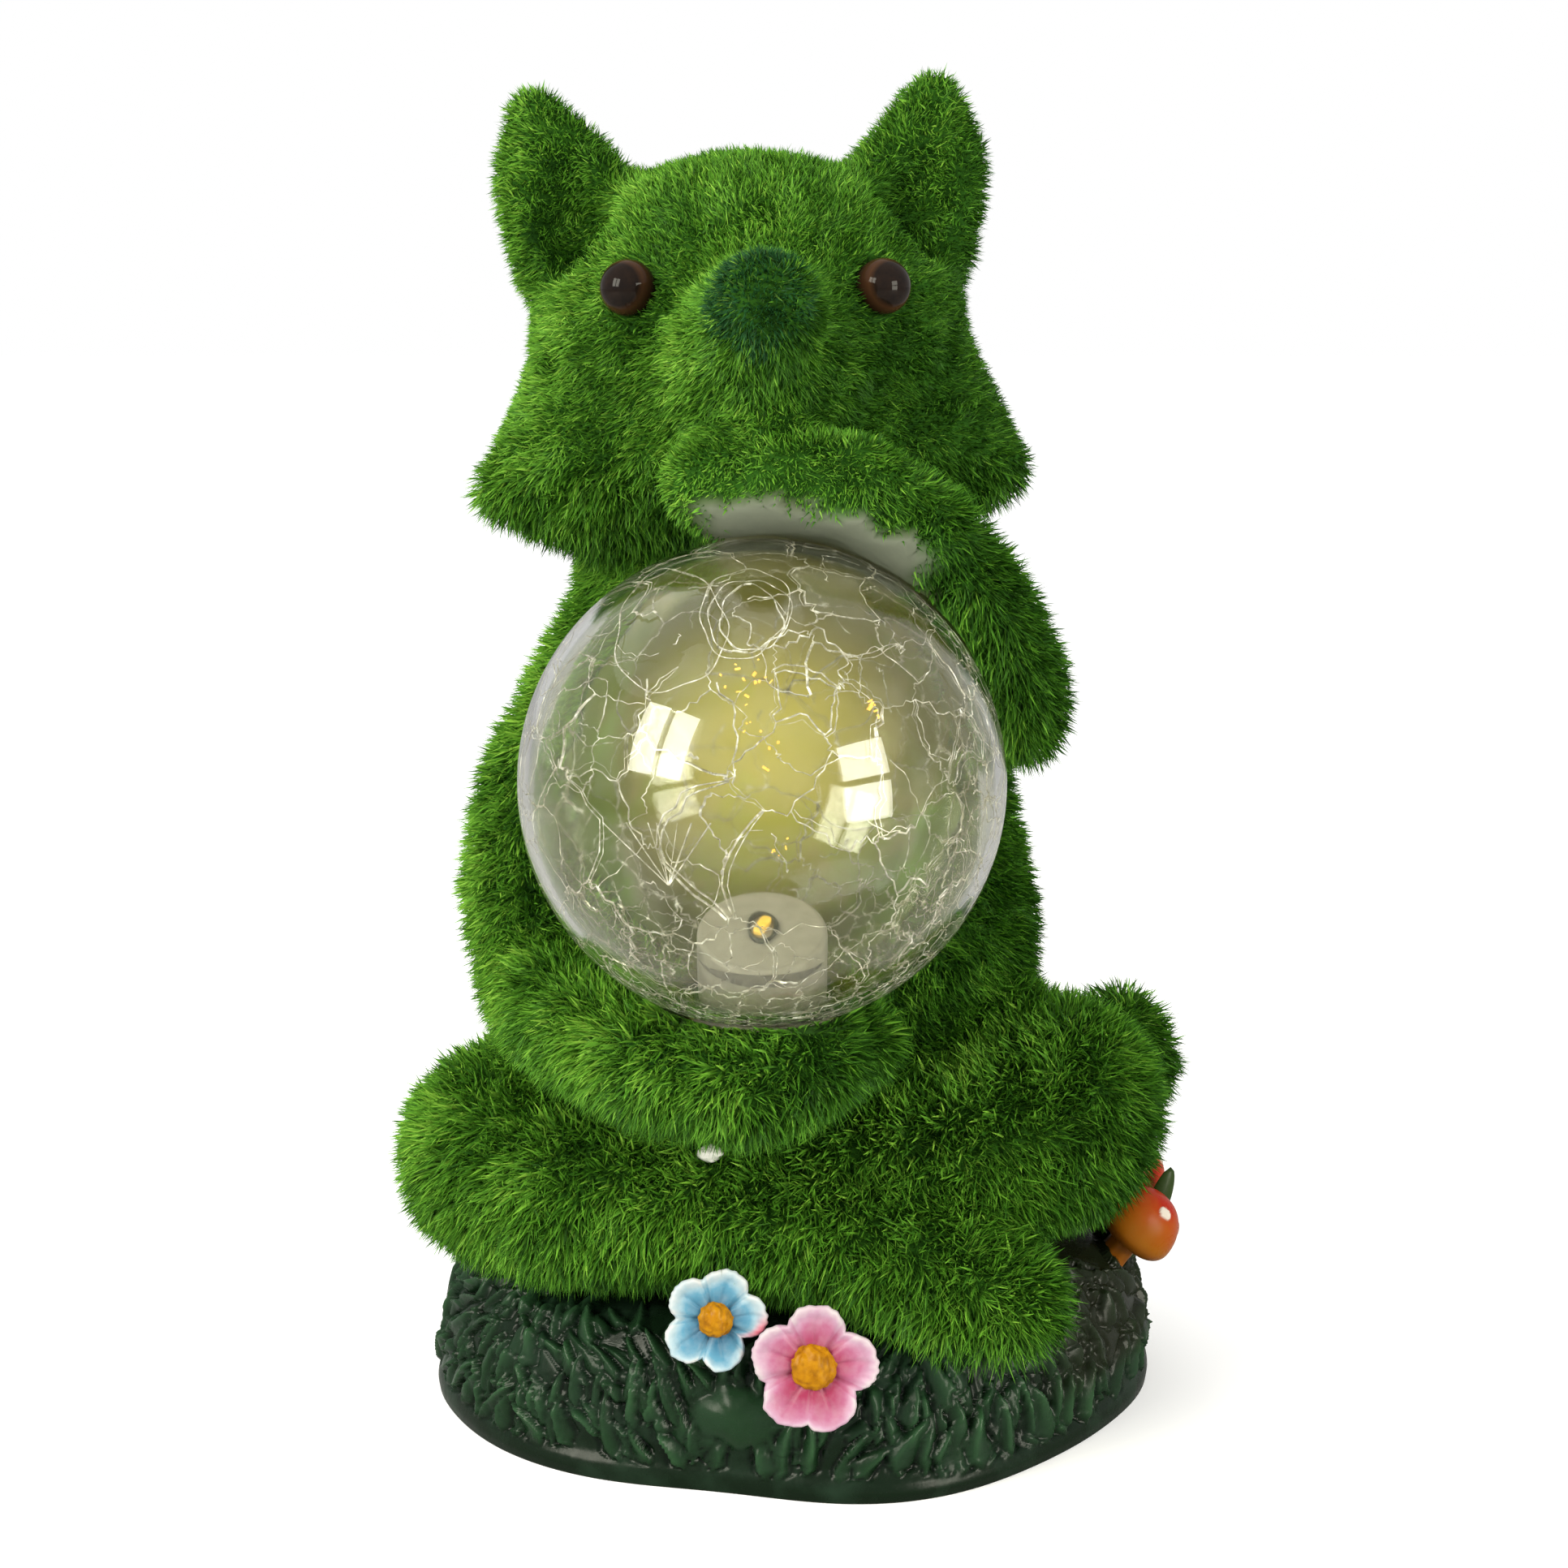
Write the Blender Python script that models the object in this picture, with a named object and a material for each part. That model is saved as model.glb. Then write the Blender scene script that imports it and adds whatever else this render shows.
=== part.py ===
"""Grass-covered fox sitting cross-legged on a mound, hugging a lit globe of crackled glass.

Metres, +Z up, the fox faces -Y. The origin is the middle of the mound's underside.
The fox is a free form: its places are hundredths of its own height, measured from its seat.
"""

import math

import bmesh
import bpy
import numpy as np
from mathutils import Matrix, Vector

# Sizes that are set by themselves
mound_width = 0.136
mound_depth = 0.105
mound_height = 0.028
lip_height = 0.0035
end_fullness = 0.5
stroke_depth = 0.0006
# The mound's outline against an oval, in hundredths, every 15 degrees from +X towards the back
mound_outline = (
    (96, 100, 103, 104, 104, 103, 103, 102, 102, 100, 99, 100, 100, 98, 97, 96, 93, 90, 94, 98, 95, 91, 90, 92)
)

fox_height = 0.213
globe_radius = 0.040
globe_wall = 0.0018
mouth_radius = 0.0115
neck_length = 0.005

lamp_rise = 0.0129
lamp_flange = 0.002
lamp_slant = 20
led_size = (0.0048, 0.0022, 0.0010)

eye_radius = 0.0046
blue_flower_radius = 0.0084
pink_flower_radius = 0.0105
petal_thickness = 0.0026
flower_room = 0.0010
flower_proud = 0.0018
low_cap_radius = 0.0075
low_stem_length = 0.0110
low_foot_inset = 0.0210
high_cap_radius = 0.0062
high_stem_length = 0.0148
high_foot_inset = 0.0126

touch_gap = 0.0003
slide_gap = 0.0005

# Places that follow from them
seat = Vector((0, 0, mound_height + touch_gap))
hundredth = fox_height / 100
fox_triangles = 3390


def at(x, y, z):
    """A point of the fox, in hundredths of its height from the middle of its seat."""
    return seat + Vector((x, y, z)) * hundredth


globe_centre = at(-3.1, -20.7, 45.4)
neck_radius = mouth_radius + globe_wall
neck_top = globe_centre.z - math.sqrt(globe_radius**2 - neck_radius**2)
neck_bottom = neck_top - neck_length
lamp_radius = mouth_radius - slide_gap
socket_radius = neck_radius + slide_gap
socket_floor = neck_bottom - touch_gap - lamp_flange

head_middle = at(-4.2, -1.0, 78.4)
head_radii = Vector((18.2, 15.2, 15.1)) * hundredth
head_turn = Matrix.Rotation(math.radians(4), 4, "Z") @ Matrix.Rotation(math.radians(-2.3), 4, "Y")


# Building blocks
def clear_scene():
    for obj in list(bpy.data.objects):
        bpy.data.objects.remove(obj, do_unlink=True)


def finish(name, mesh, colour, roughness, smooth_angle=40, metallic=0.0):
    """Gives a mesh its object and its material."""
    obj = bpy.data.objects.new(name, mesh)
    bpy.context.scene.collection.objects.link(obj)
    material = bpy.data.materials.new(name)
    material.use_nodes = True
    shader = material.node_tree.nodes["Principled BSDF"]
    shader.inputs["Base Color"].default_value = (*colour, 1)
    shader.inputs["Roughness"].default_value = roughness
    shader.inputs["Metallic"].default_value = metallic
    mesh.materials.append(material)
    mesh.shade_smooth()
    mesh.set_sharp_from_angle(angle=math.radians(smooth_angle))
    return obj


def mesh_of(bm, name):
    bmesh.ops.recalc_face_normals(bm, faces=bm.faces)
    mesh = bpy.data.meshes.new(name)
    bm.to_mesh(mesh)
    bm.free()
    return mesh


def cutter(name, mesh):
    obj = bpy.data.objects.new(name, mesh)
    bpy.context.scene.collection.objects.link(obj)
    obj.hide_render = True
    obj.display_type = "WIRE"
    return obj


def cut(obj, tool):
    modifier = obj.modifiers.new("cut by " + tool.name, "BOOLEAN")
    modifier.operation = "DIFFERENCE"
    modifier.solver = "EXACT"
    modifier.object = tool


def turned(profile, middle, segments):
    """A closed solid of revolution about a vertical axis. The profile is (radius, height) pairs, top to bottom."""
    bm = bmesh.new()
    rings = []
    for radius, height in profile:
        if radius == 0:
            rings.append([bm.verts.new((middle.x, middle.y, height))])
            continue
        ring = []
        for i in range(segments):
            angle = math.tau * i / segments
            place = (middle.x + radius * math.cos(angle), middle.y + radius * math.sin(angle), height)
            ring.append(bm.verts.new(place))
        rings.append(ring)
    pairs = list(zip(rings, rings[1:]))
    if profile[0][0] and profile[-1][0]:
        pairs.append((rings[-1], rings[0]))
    for upper, lower in pairs:
        for i in range(segments):
            j = (i + 1) % segments
            corners = [upper[i % len(upper)], upper[j % len(upper)], lower[j % len(lower)], lower[i % len(lower)]]
            bm.faces.new(list(dict.fromkeys(corners)))
    return bm


def add_ball(bm, middle, radii, turn=Matrix.Identity(4), detail=3):
    """An ellipsoid."""
    shape = Matrix.Translation(middle) @ turn @ Matrix.Diagonal((*radii, 1))
    bmesh.ops.create_icosphere(bm, subdivisions=detail, radius=1, matrix=shape)


def add_round_cone(bm, start, start_radii, end, end_radii):
    """The hull around two ellipsoids, as a limb between two joints."""
    hull = bmesh.new()
    add_ball(hull, start, start_radii)
    add_ball(hull, end, end_radii)
    made = bmesh.ops.convex_hull(hull, input=hull.verts)
    spare = {v for v in made["geom_interior"] + made["geom_unused"] if isinstance(v, bmesh.types.BMVert)}
    bmesh.ops.delete(hull, geom=list(spare), context="VERTS")
    bmesh.ops.recalc_face_normals(hull, faces=hull.faces)
    mesh = bpy.data.meshes.new("hull")
    hull.to_mesh(mesh)
    hull.free()
    bm.from_mesh(mesh)
    bpy.data.meshes.remove(mesh)


def add_limb(bm, joints):
    """A chain of round cones through joints, each a place and three radii."""
    for (start, start_radii), (end, end_radii) in zip(joints, joints[1:]):
        add_round_cone(bm, start, start_radii, end, end_radii)


def joint(x, y, z, *radii):
    """A joint of a limb in hundredths of the fox's height. One radius makes it round."""
    wide = radii * 3 if len(radii) == 1 else radii
    return at(x, y, z), Vector(wide) * hundredth


def on_head(x, y, z):
    """A point measured from the middle of the head, in hundredths, that turns with the head."""
    return head_middle + head_turn.to_3x3() @ Vector((x, y, z)) * hundredth


def head_joint(x, y, z, *radii):
    wide = radii * 3 if len(radii) == 1 else radii
    return on_head(x, y, z), Vector(wide) * hundredth


# The fox
def add_torso(bm):
    add_ball(bm, at(-1.6, 3.5, 20.0), Vector((22.4, 16.5, 18.0)) * hundredth)
    add_limb(
        bm,
        [
            joint(-1.6, 3.0, 27.0, 22.6, 15.6, 17.0),
            joint(-2.6, 3.4, 45.0, 19.8, 12.6, 14.0),
            joint(-3.8, 2.0, 60.0, 14.6, 11.4, 11.0),
            joint(-4.2, 1.0, 70.0, 14.0, 11.0, 8.0),
        ],
    )


def add_head(bm):
    add_ball(bm, head_middle, head_radii, head_turn)
    add_ball(bm, on_head(0, -1.6, -8.5), Vector((17.4, 13.2, 9.5)) * hundredth, head_turn)
    for side in (-1, 1):
        jaw = head_joint(side * 11.0, -1.5, -9.0, 9.5, 9.5, 9.0)
        brow = head_joint(side * 12.0, -1.0, -2.0, 6.0, 8.0, 6.0)
        add_round_cone(bm, *jaw, *head_joint(side * 20.5 - 0.3, -3.0, -11.4, 2.6, 3.4, 2.6))
        add_round_cone(bm, *brow, *head_joint(side * 19.0, -2.6, -9.4, 2.8, 3.6, 3.0))
        add_limb(
            bm,
            [
                head_joint(side * 12.6, 1.0, 7.5, 7.0, 4.6, 7.0),
                head_joint(side * 14.8, 1.6, 12.8, 5.8, 3.6, 5.4),
                head_joint(side * 16.1 - 0.3, 2.0, 18.3, 2.8, 2.3, 2.6),
            ],
        )


def add_snout(bm):
    add_limb(
        bm,
        [
            head_joint(0, -11.0, -3.0, 9.5, 6.0, 9.5),
            head_joint(0, -17.5, 1.0, 5.6, 5.5, 6.5),
            head_joint(0, -23.2, 3.8, 4.3, 3.8, 4.2),
        ],
    )
    add_limb(bm, [head_joint(0, -11.0, -8.0, 6.5, 5.0, 5.0), head_joint(0, -17.0, -4.4, 4.2, 3.6, 3.8)])


def add_over_arm(bm):
    """The arm that lies over the top of the globe, from the hand by the chin to the elbow and up the shoulder."""
    elbow = joint(17.4, -8.2, 48.2, 4.5)
    add_limb(
        bm,
        [
            joint(-7.4, -19.5, 68.0, 4.1),
            joint(-1.4, -21.4, 69.0, 4.2),
            joint(3.8, -21.6, 68.5, 4.3),
            joint(8.9, -19.6, 65.0, 4.3),
            joint(13.8, -14.8, 58.8, 4.4),
            joint(17.0, -10.0, 51.6, 4.6),
            elbow,
        ],
    )
    add_limb(bm, [elbow, joint(12.2, 1.4, 57.1, 5.6)])
    # What fills the corner between the arm, the chin and the globe
    add_limb(bm, [joint(-1.0, -17.0, 66.0, 3.2), joint(6.0, -16.4, 64.6, 3.2), joint(11.4, -13.0, 60.8, 3.2)])


def add_under_arm(bm):
    """The arm that comes down the other flank and carries the globe from below."""
    add_limb(
        bm,
        [
            joint(-15.2, 2.0, 51.0, 6.6),
            joint(-21.8, 1.5, 39.5, 6.2),
            joint(-23.0, -0.5, 32.0, 6.1),
            joint(-21.6, -4.4, 24.6, 5.7),
            joint(-17.4, -14.8, 23.8, 5.1),
            joint(-11.1, -24.0, 23.6, 4.8),
            joint(-4.7, -27.4, 23.3, 4.6),
            joint(-0.6, -27.2, 24.2, 4.5),
            joint(1.0, -26.6, 25.2, 4.3),
        ],
    )
    shelf = Vector((globe_centre.x, globe_centre.y + 2.4 * hundredth, neck_bottom - 1.2 * hundredth))
    add_ball(bm, shelf, Vector((11.6, 9.6, 5.2)) * hundredth)


def add_legs(bm):
    add_ball(bm, at(-1.5, -8.0, 12.5), Vector((17.0, 11.5, 10.0)) * hundredth)
    # The leg in front: hip, knee, shin and foot
    add_limb(
        bm,
        [
            joint(-11.0, 5.0, 11.0, 11.0),
            joint(-25.0, -4.6, 9.8, 9.1, 10.6, 9.7),
            joint(-19.0, -11.5, 8.8, 8.0, 8.0, 7.8),
            joint(-8.0, -15.0, 8.7, 6.4),
            joint(3.5, -17.2, 7.3, 6.2),
            joint(12.8, -19.4, 3.6, 6.2, 6.2, 6.4),
            joint(16.0, -19.6, 2.5, 5.8, 6.0, 5.6),
        ],
    )
    # The leg behind it: hip, knee and the start of its shin
    add_limb(
        bm,
        [
            joint(8.0, 5.0, 12.0, 11.0),
            joint(22.2, -6.0, 14.2, 8.4, 10.2, 9.8),
            joint(14.0, -12.6, 12.0, 7.4, 7.4, 7.8),
            joint(2.0, -14.6, 12.0, 6.0),
        ],
    )


def add_tail(bm):
    add_limb(
        bm,
        [
            joint(1.0, 13.0, 5.5, 6.0),
            joint(14.0, 16.0, 5.8, 6.3),
            joint(24.5, 13.0, 8.0, 6.2),
            joint(28.6, 9.0, 13.6, 5.6),
            joint(28.4, 8.0, 16.8, 4.2),
        ],
    )


def eye_places():
    """Both eyes: the middle of each and the way it looks, on the skull's surface."""
    places = []
    for side in (-1, 1):
        across, up = side * math.radians(34 - side * 0.5), math.radians(16.4 - side * 1.4)
        way = Vector((math.sin(across) * math.cos(up), -math.cos(across) * math.cos(up), math.sin(up)))
        turn = head_turn.to_3x3()
        surface = head_middle + turn @ Vector([a * b for a, b in zip(head_radii, way)])
        places.append((surface, (turn @ way).normalized()))
    return places


def make_fox():
    bm = bmesh.new()
    for add in (add_torso, add_head, add_snout, add_over_arm, add_under_arm, add_legs, add_tail):
        add(bm)
    mesh = bpy.data.meshes.new("fox")
    bm.to_mesh(mesh)
    bm.free()
    fox = finish("fox", mesh, (0.10, 0.30, 0.03), 0.9, smooth_angle=60)

    merge = fox.modifiers.new("one skin", "REMESH")
    merge.mode = "VOXEL"
    merge.voxel_size = fox_height / 150
    merge.use_smooth_shade = True
    soften = fox.modifiers.new("soft creases", "SMOOTH")
    soften.factor = 0.5
    soften.iterations = 7
    graph = bpy.context.evaluated_depsgraph_get()
    skin = fox.evaluated_get(graph).to_mesh()
    skin.calc_loop_triangles()
    thin = fox.modifiers.new("fewer faces", "DECIMATE")
    thin.ratio = fox_triangles / len(skin.loop_triangles)

    recess = bmesh.new()
    add_ball(recess, globe_centre, (globe_radius + slide_gap,) * 3, detail=4)
    cut(fox, cutter("globe_recess", mesh_of(recess, "globe_recess")))
    top = globe_centre.z
    socket = [(0, top), (socket_radius, top), (socket_radius, socket_floor - touch_gap), (0, socket_floor - touch_gap)]
    cut(fox, cutter("lamp_socket", mesh_of(turned(socket, globe_centre, 32), "lamp_socket")))
    space = mound(touch_gap * 2, touch_gap, -touch_gap, stroke_depth)
    cut(fox, cutter("mound_space", mesh_of(space, "mound_space")))
    sockets = bmesh.new()
    for surface, way in eye_places():
        socket = mesh_of(bead(eye_radius + touch_gap), "socket")
        socket.transform(face(surface, way))
        sockets.from_mesh(socket)
        bpy.data.meshes.remove(socket)
    cut(fox, cutter("eye_sockets", mesh_of(sockets, "eye_sockets")))
    cut(fox, cutter("flower_space", mesh_of(flower_space(), "flower_space")))
    scoops = bmesh.new()
    for side in (-1, 1):
        lean = head_turn @ Matrix.Rotation(side * math.radians(16), 4, "Y")
        add_ball(scoops, on_head(side * 14.6, -4.2, 11.2), Vector((4.2, 3.2, 6.4)) * hundredth, lean)
    cut(fox, cutter("ear_scoops", mesh_of(scoops, "ear_scoops")))
    return fox


# The mound
def outline_share(angle):
    """The mound's outline against its oval at an angle, as a smooth curve through mound_outline."""
    waves = np.fft.rfft(np.array(mound_outline) / 100)
    count = len(mound_outline)
    total = waves[0].real
    for order, wave in enumerate(waves[1:-1], start=1):
        total += 2 * (wave.real * math.cos(order * angle) - wave.imag * math.sin(order * angle))
    return (total + waves[-1].real * math.cos(count // 2 * angle)) / count


def mound_point(angle, inset):
    """A point of the mound's side, inset from its outline. The side is fuller in front, where the flowers sit,
    and at both ends."""
    swell = math.exp(-((math.degrees(angle) % 360 - 258) / 17) ** 2)
    share = outline_share(angle)
    inset = inset * (1 - 0.7 * swell - end_fullness * math.cos(angle) ** 2)
    return share * (mound_width / 2 - inset) * math.cos(angle), share * (mound_depth / 2 - inset) * math.sin(angle)


def mound(spread=0.0, rise=0.0, bottom=0.0, stroke=0.0, segments=72):
    """A steep oval mound on a smooth lip. It is spread sideways and raised by what it must clear, and stroke
    is the depth of the grass blades in its side."""
    levels = [
        (bottom, 0.0, 0),
        (lip_height * 0.5, lip_height * -0.17, 0),
        (lip_height, 0.0, 0),
        (lip_height * 1.57, mound_height * 0.043, 1),
        (mound_height * 0.38, mound_height * 0.064, -1),
        (mound_height * 0.58, mound_height * 0.136, 1),
        (mound_height * 0.76, mound_height * 0.25, -1),
        (mound_height * 0.91, mound_height * 0.43, 1),
        (mound_height, mound_height * 0.82, 0),
    ]
    bm = bmesh.new()
    rings = []
    for level, (height, inset, wave) in enumerate(levels):
        ring = []
        for i in range(segments):
            ripple = stroke * wave * (1 if (i + level) % 4 < 2 else -1)
            across, along = mound_point(math.tau * i / segments, inset - spread - ripple)
            ring.append(bm.verts.new((across, along, height + (rise if level else 0))))
        rings.append(ring)
    for lower, upper in zip(rings, rings[1:]):
        for i in range(segments):
            j = (i + 1) % segments
            bm.faces.new((lower[i], lower[j], upper[j], upper[i]))
    bm.faces.new(rings[0][::-1])
    bm.faces.new(rings[-1])
    return bm


def make_base():
    return finish("base", mesh_of(mound(stroke=stroke_depth), "base"), (0.02, 0.06, 0.03), 0.4)


# The globe and its lamp
def sphere_profile(radius, mouth, steps=11):
    """Points of a ball from its top down to where its mouth opens."""
    last = math.pi - math.asin(mouth / radius)
    angles = [last * i / steps for i in range(steps + 1)]
    return [(radius * math.sin(a) if i else 0, globe_centre.z + radius * math.cos(a)) for i, a in enumerate(angles)]


def make_globe():
    outside = sphere_profile(globe_radius, neck_radius)
    inside = sphere_profile(globe_radius - globe_wall, mouth_radius)
    profile = outside + [(neck_radius, neck_bottom), (mouth_radius, neck_bottom)] + inside[::-1]
    return finish("globe", mesh_of(turned(profile, globe_centre, 30), "globe"), (0.93, 0.95, 0.90), 0.05, 60)


def make_lamp():
    """The white cap that closes the globe's mouth and stands up in it. Its flat top slants to the front."""
    flange_top = neck_bottom - touch_gap
    top = neck_top + lamp_rise
    bevel = 0.0025
    profile = [
        (0, top),
        (lamp_radius - bevel, top),
        (lamp_radius - bevel * 0.3, top - bevel * 0.3),
        (lamp_radius, top - bevel),
        (lamp_radius, flange_top),
        (neck_radius, flange_top),
        (neck_radius, flange_top - lamp_flange),
        (0, flange_top - lamp_flange),
    ]
    cap = turned(profile, globe_centre, 20)
    for corner in cap.verts:
        if corner.co.z > top - bevel * 1.5:
            corner.co.z += (corner.co.y - globe_centre.y) * math.tan(math.radians(lamp_slant))
    return finish("lamp_cap", mesh_of(cap, "lamp_cap"), (0.85, 0.83, 0.76), 0.4)


def make_led():
    """The yellow chip that lies on the slanting top of the lamp cap."""
    bm = bmesh.new()
    slant = Matrix.Rotation(math.radians(lamp_slant), 4, "X")
    middle = Vector((globe_centre.x, globe_centre.y, neck_top + lamp_rise))
    middle += slant.to_3x3() @ Vector((0, 0, touch_gap + led_size[2] / 2))
    turn = slant @ Matrix.Rotation(math.radians(112), 4, "Z")
    bmesh.ops.create_cube(bm, size=1, matrix=Matrix.Translation(middle) @ turn @ Matrix.Diagonal((*led_size, 1)))
    return finish("led", mesh_of(bm, "led"), (0.9, 0.62, 0.05), 0.4)


# Eyes, flowers and toadstools
def face(place, way):
    """A frame whose +Z looks along way and whose +Y points up."""
    return Matrix.Translation(place) @ way.to_track_quat("Z", "Y").to_matrix().to_4x4()


def bead(radius):
    """A ball whose axis is +Z."""
    angles = [math.radians(a) for a in (0, 28, 56, 84, 115, 147, 180)]
    profile = [(radius * math.sin(a) if 0 < a < 3 else 0, radius * math.cos(a)) for a in angles]
    return turned(profile, Vector(), 16)


def make_eyes():
    for name, (surface, way) in zip(("right_eye", "left_eye"), eye_places()):
        eye = finish(name, mesh_of(bead(eye_radius), name), (0.03, 0.015, 0.015), 0.1)
        eye.matrix_world = face(surface, way)


def flower(radius, roll, petals=5, sides=30):
    """A five-petalled flower that looks along +Z: cupped petals with notches between them, a raised middle,
    and a plug behind that reaches down into the mound."""
    button = radius * 0.27
    rings = [
        (0.0, radius * 0.22, 0, 0),
        (button * 0.8, radius * 0.17, 0, 0),
        (button, radius * 0.04, 0, 0),
        (radius * 0.62, radius * 0.08, 0.6, 0),
        (radius * 0.98, radius * 0.16, 1, 0),
        (radius * 0.90, -petal_thickness * 0.6, 0.9, 0),
        (radius * 0.38, -petal_thickness * 1.4, 0.1, 0.34),
        (radius * 0.30, -petal_thickness * 3.2, 0, 0.62),
        (0.0, -petal_thickness * 3.2, 0, 0.62),
    ]
    bm = bmesh.new()
    loops = []
    for reach, height, lobed, sink in rings:
        drop = -sink * radius
        if reach == 0:
            loops.append([bm.verts.new((0, drop, height))])
            continue
        loop = []
        for i in range(sides):
            angle = math.tau * i / sides
            notch = abs(math.sin(petals * (angle - roll) / 2)) ** 0.5
            share = reach * (1 - 0.30 * lobed * (1 - notch))
            loop.append(bm.verts.new((share * math.cos(angle), drop + share * math.sin(angle), height)))
        loops.append(loop)
    for outer, inner in zip(loops, loops[1:]):
        for i in range(sides):
            j = (i + 1) % sides
            corners = [outer[i % len(outer)], outer[j % len(outer)], inner[j % len(inner)], inner[i % len(inner)]]
            bm.faces.new(list(dict.fromkeys(corners)))
    return bm


def on_front(degrees, proud, height):
    """A place in front of the mound's outline, at an angle round it, standing proud of it."""
    across, along = mound_point(math.radians(degrees), -proud)
    return Vector((across, along, height))


flowers = {
    "blue_flower": (blue_flower_radius, -102.9, 0.11, (0.30, 0.62, 0.85), 37),
    "pink_flower": (pink_flower_radius, -87.6, -0.08, (0.90, 0.40, 0.60), 48),
}
flower_look = Vector((0.03, -0.97, 0.22)).normalized()


def flower_place(name):
    """Where a flower stands: at its angle, proud of the mound's outline, its middle near the mound's top edge."""
    degrees, rise = flowers[name][1:3]
    return face(on_front(degrees, flower_proud, mound_height * (1 + rise)), flower_look)


def flower_space():
    """The room that both flowers need in the leg above them."""
    bm = bmesh.new()
    for name, (radius, *rest) in flowers.items():
        wide = radius + flower_room
        deep = petal_thickness * 1.2 + flower_room
        profile = [(0, wide), (wide * 0.8, wide), (wide, wide * 0.6), (wide, -deep * 0.6), (wide * 0.8, -deep), (0, -deep)]
        disc = mesh_of(turned(profile, Vector(), 24), "disc")
        disc.transform(flower_place(name))
        bm.from_mesh(disc)
        bpy.data.meshes.remove(disc)
    return bm


def make_flowers():
    space = bpy.data.objects["mound_space"]
    for name, (radius, degrees, rise, colour, roll) in flowers.items():
        petals = finish(name, mesh_of(flower(radius, math.radians(roll)), name), colour, 0.45)
        petals.matrix_world = flower_place(name)
        cut(petals, space)


def make_toadstool(name, foot, cap_radius, way, stem_length, colour):
    """A spotted cap on a short stem, leaning out from the mound."""
    cap_height = cap_radius * 1.15
    stem = cap_radius * 0.42
    profile = [(0, stem_length + cap_height)]
    for angle in (28, 56, 90):
        turn = math.radians(angle)
        profile.append((cap_radius * math.sin(turn), stem_length + cap_height * math.cos(turn)))
    profile += [
        (cap_radius * 0.86, stem_length - cap_radius * 0.22),
        (stem * 1.1, stem_length - cap_radius * 0.10),
        (stem, stem_length * 0.5),
        (stem * 1.25, 0),
        (0, 0),
    ]
    toadstool = finish(name, mesh_of(turned(profile, Vector(), 18), name), colour, 0.3)
    toadstool.matrix_world = face(foot, Vector(way).normalized())
    cut(toadstool, bpy.data.objects["mound_space"])


def make_toadstools():
    across, along = mound_point(math.radians(1), low_foot_inset)
    low_foot = Vector((across, along, mound_height * 0.745))
    lean = (0.62, -0.06, 0.78)
    make_toadstool("low_toadstool", low_foot, low_cap_radius, lean, low_stem_length, (0.75, 0.28, 0.05))
    across, along = mound_point(math.radians(16.5), high_foot_inset)
    high_foot = Vector((across, along, mound_height * 0.76))
    lean = (0.30, 0.0, 0.95)
    make_toadstool("high_toadstool", high_foot, high_cap_radius, lean, high_stem_length, (0.65, 0.10, 0.05))


clear_scene()
make_fox()
make_base()
make_globe()
make_lamp()
make_led()
make_eyes()
make_flowers()
make_toadstools()
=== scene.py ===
import math

import bmesh
import bpy
import numpy as np
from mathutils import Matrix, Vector


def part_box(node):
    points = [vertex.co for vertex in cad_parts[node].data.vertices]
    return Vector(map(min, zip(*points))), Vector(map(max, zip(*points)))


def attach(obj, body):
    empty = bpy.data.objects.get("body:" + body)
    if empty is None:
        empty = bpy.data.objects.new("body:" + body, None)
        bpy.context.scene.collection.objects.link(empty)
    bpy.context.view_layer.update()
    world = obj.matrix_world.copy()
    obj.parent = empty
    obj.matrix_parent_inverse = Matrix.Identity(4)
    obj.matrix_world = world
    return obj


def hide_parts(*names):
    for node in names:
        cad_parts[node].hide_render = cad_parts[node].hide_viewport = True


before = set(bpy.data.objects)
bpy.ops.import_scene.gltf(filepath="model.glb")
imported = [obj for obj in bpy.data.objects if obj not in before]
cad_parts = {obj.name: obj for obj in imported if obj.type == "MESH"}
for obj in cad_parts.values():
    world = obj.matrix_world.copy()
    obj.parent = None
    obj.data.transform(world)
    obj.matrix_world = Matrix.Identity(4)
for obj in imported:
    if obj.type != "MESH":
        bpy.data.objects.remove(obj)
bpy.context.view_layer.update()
scene = bpy.context.scene


# Places on the fox, in hundredths of its height above its seat on the mound
seat = np.array((0.0, 0.0, 0.0283))
hundredth = 0.00213


def onFox(x, y, z):
    return seat + np.array((x, y, z)) * hundredth


def nodeBox(name):
    low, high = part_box(name)
    return np.array(low), np.array(high)


def unit(vectors):
    # Each row divided by its own length
    return vectors / np.maximum(np.linalg.norm(vectors, axis=-1, keepdims=True), 1e-12)


def ease(low, high, values):
    # Smooth step: 0 below low, 1 above high, a cubic between
    t = np.clip((values - low) / (high - low), 0, 1)
    return t * t * (3 - 2 * t)


def swirl(points, size, seed, count=9):
    # Soft noise of about -1 to 1: a sum of sines along random directions, of wavelength size
    rng = np.random.default_rng(seed)
    way = unit(rng.normal(size=(count, 3))) * (2 * math.pi / size) * rng.uniform(0.6, 1.5, (count, 1))
    phase = rng.uniform(0, 2 * math.pi, count)
    return np.sin(points @ way.T + phase).sum(1) / math.sqrt(count)


def setValues(mesh, values, domain="POINT"):
    for key, data in values.items():
        mesh.attributes.new(key, "FLOAT", domain).data.foreach_set("value", np.asarray(data, np.float32))


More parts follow.
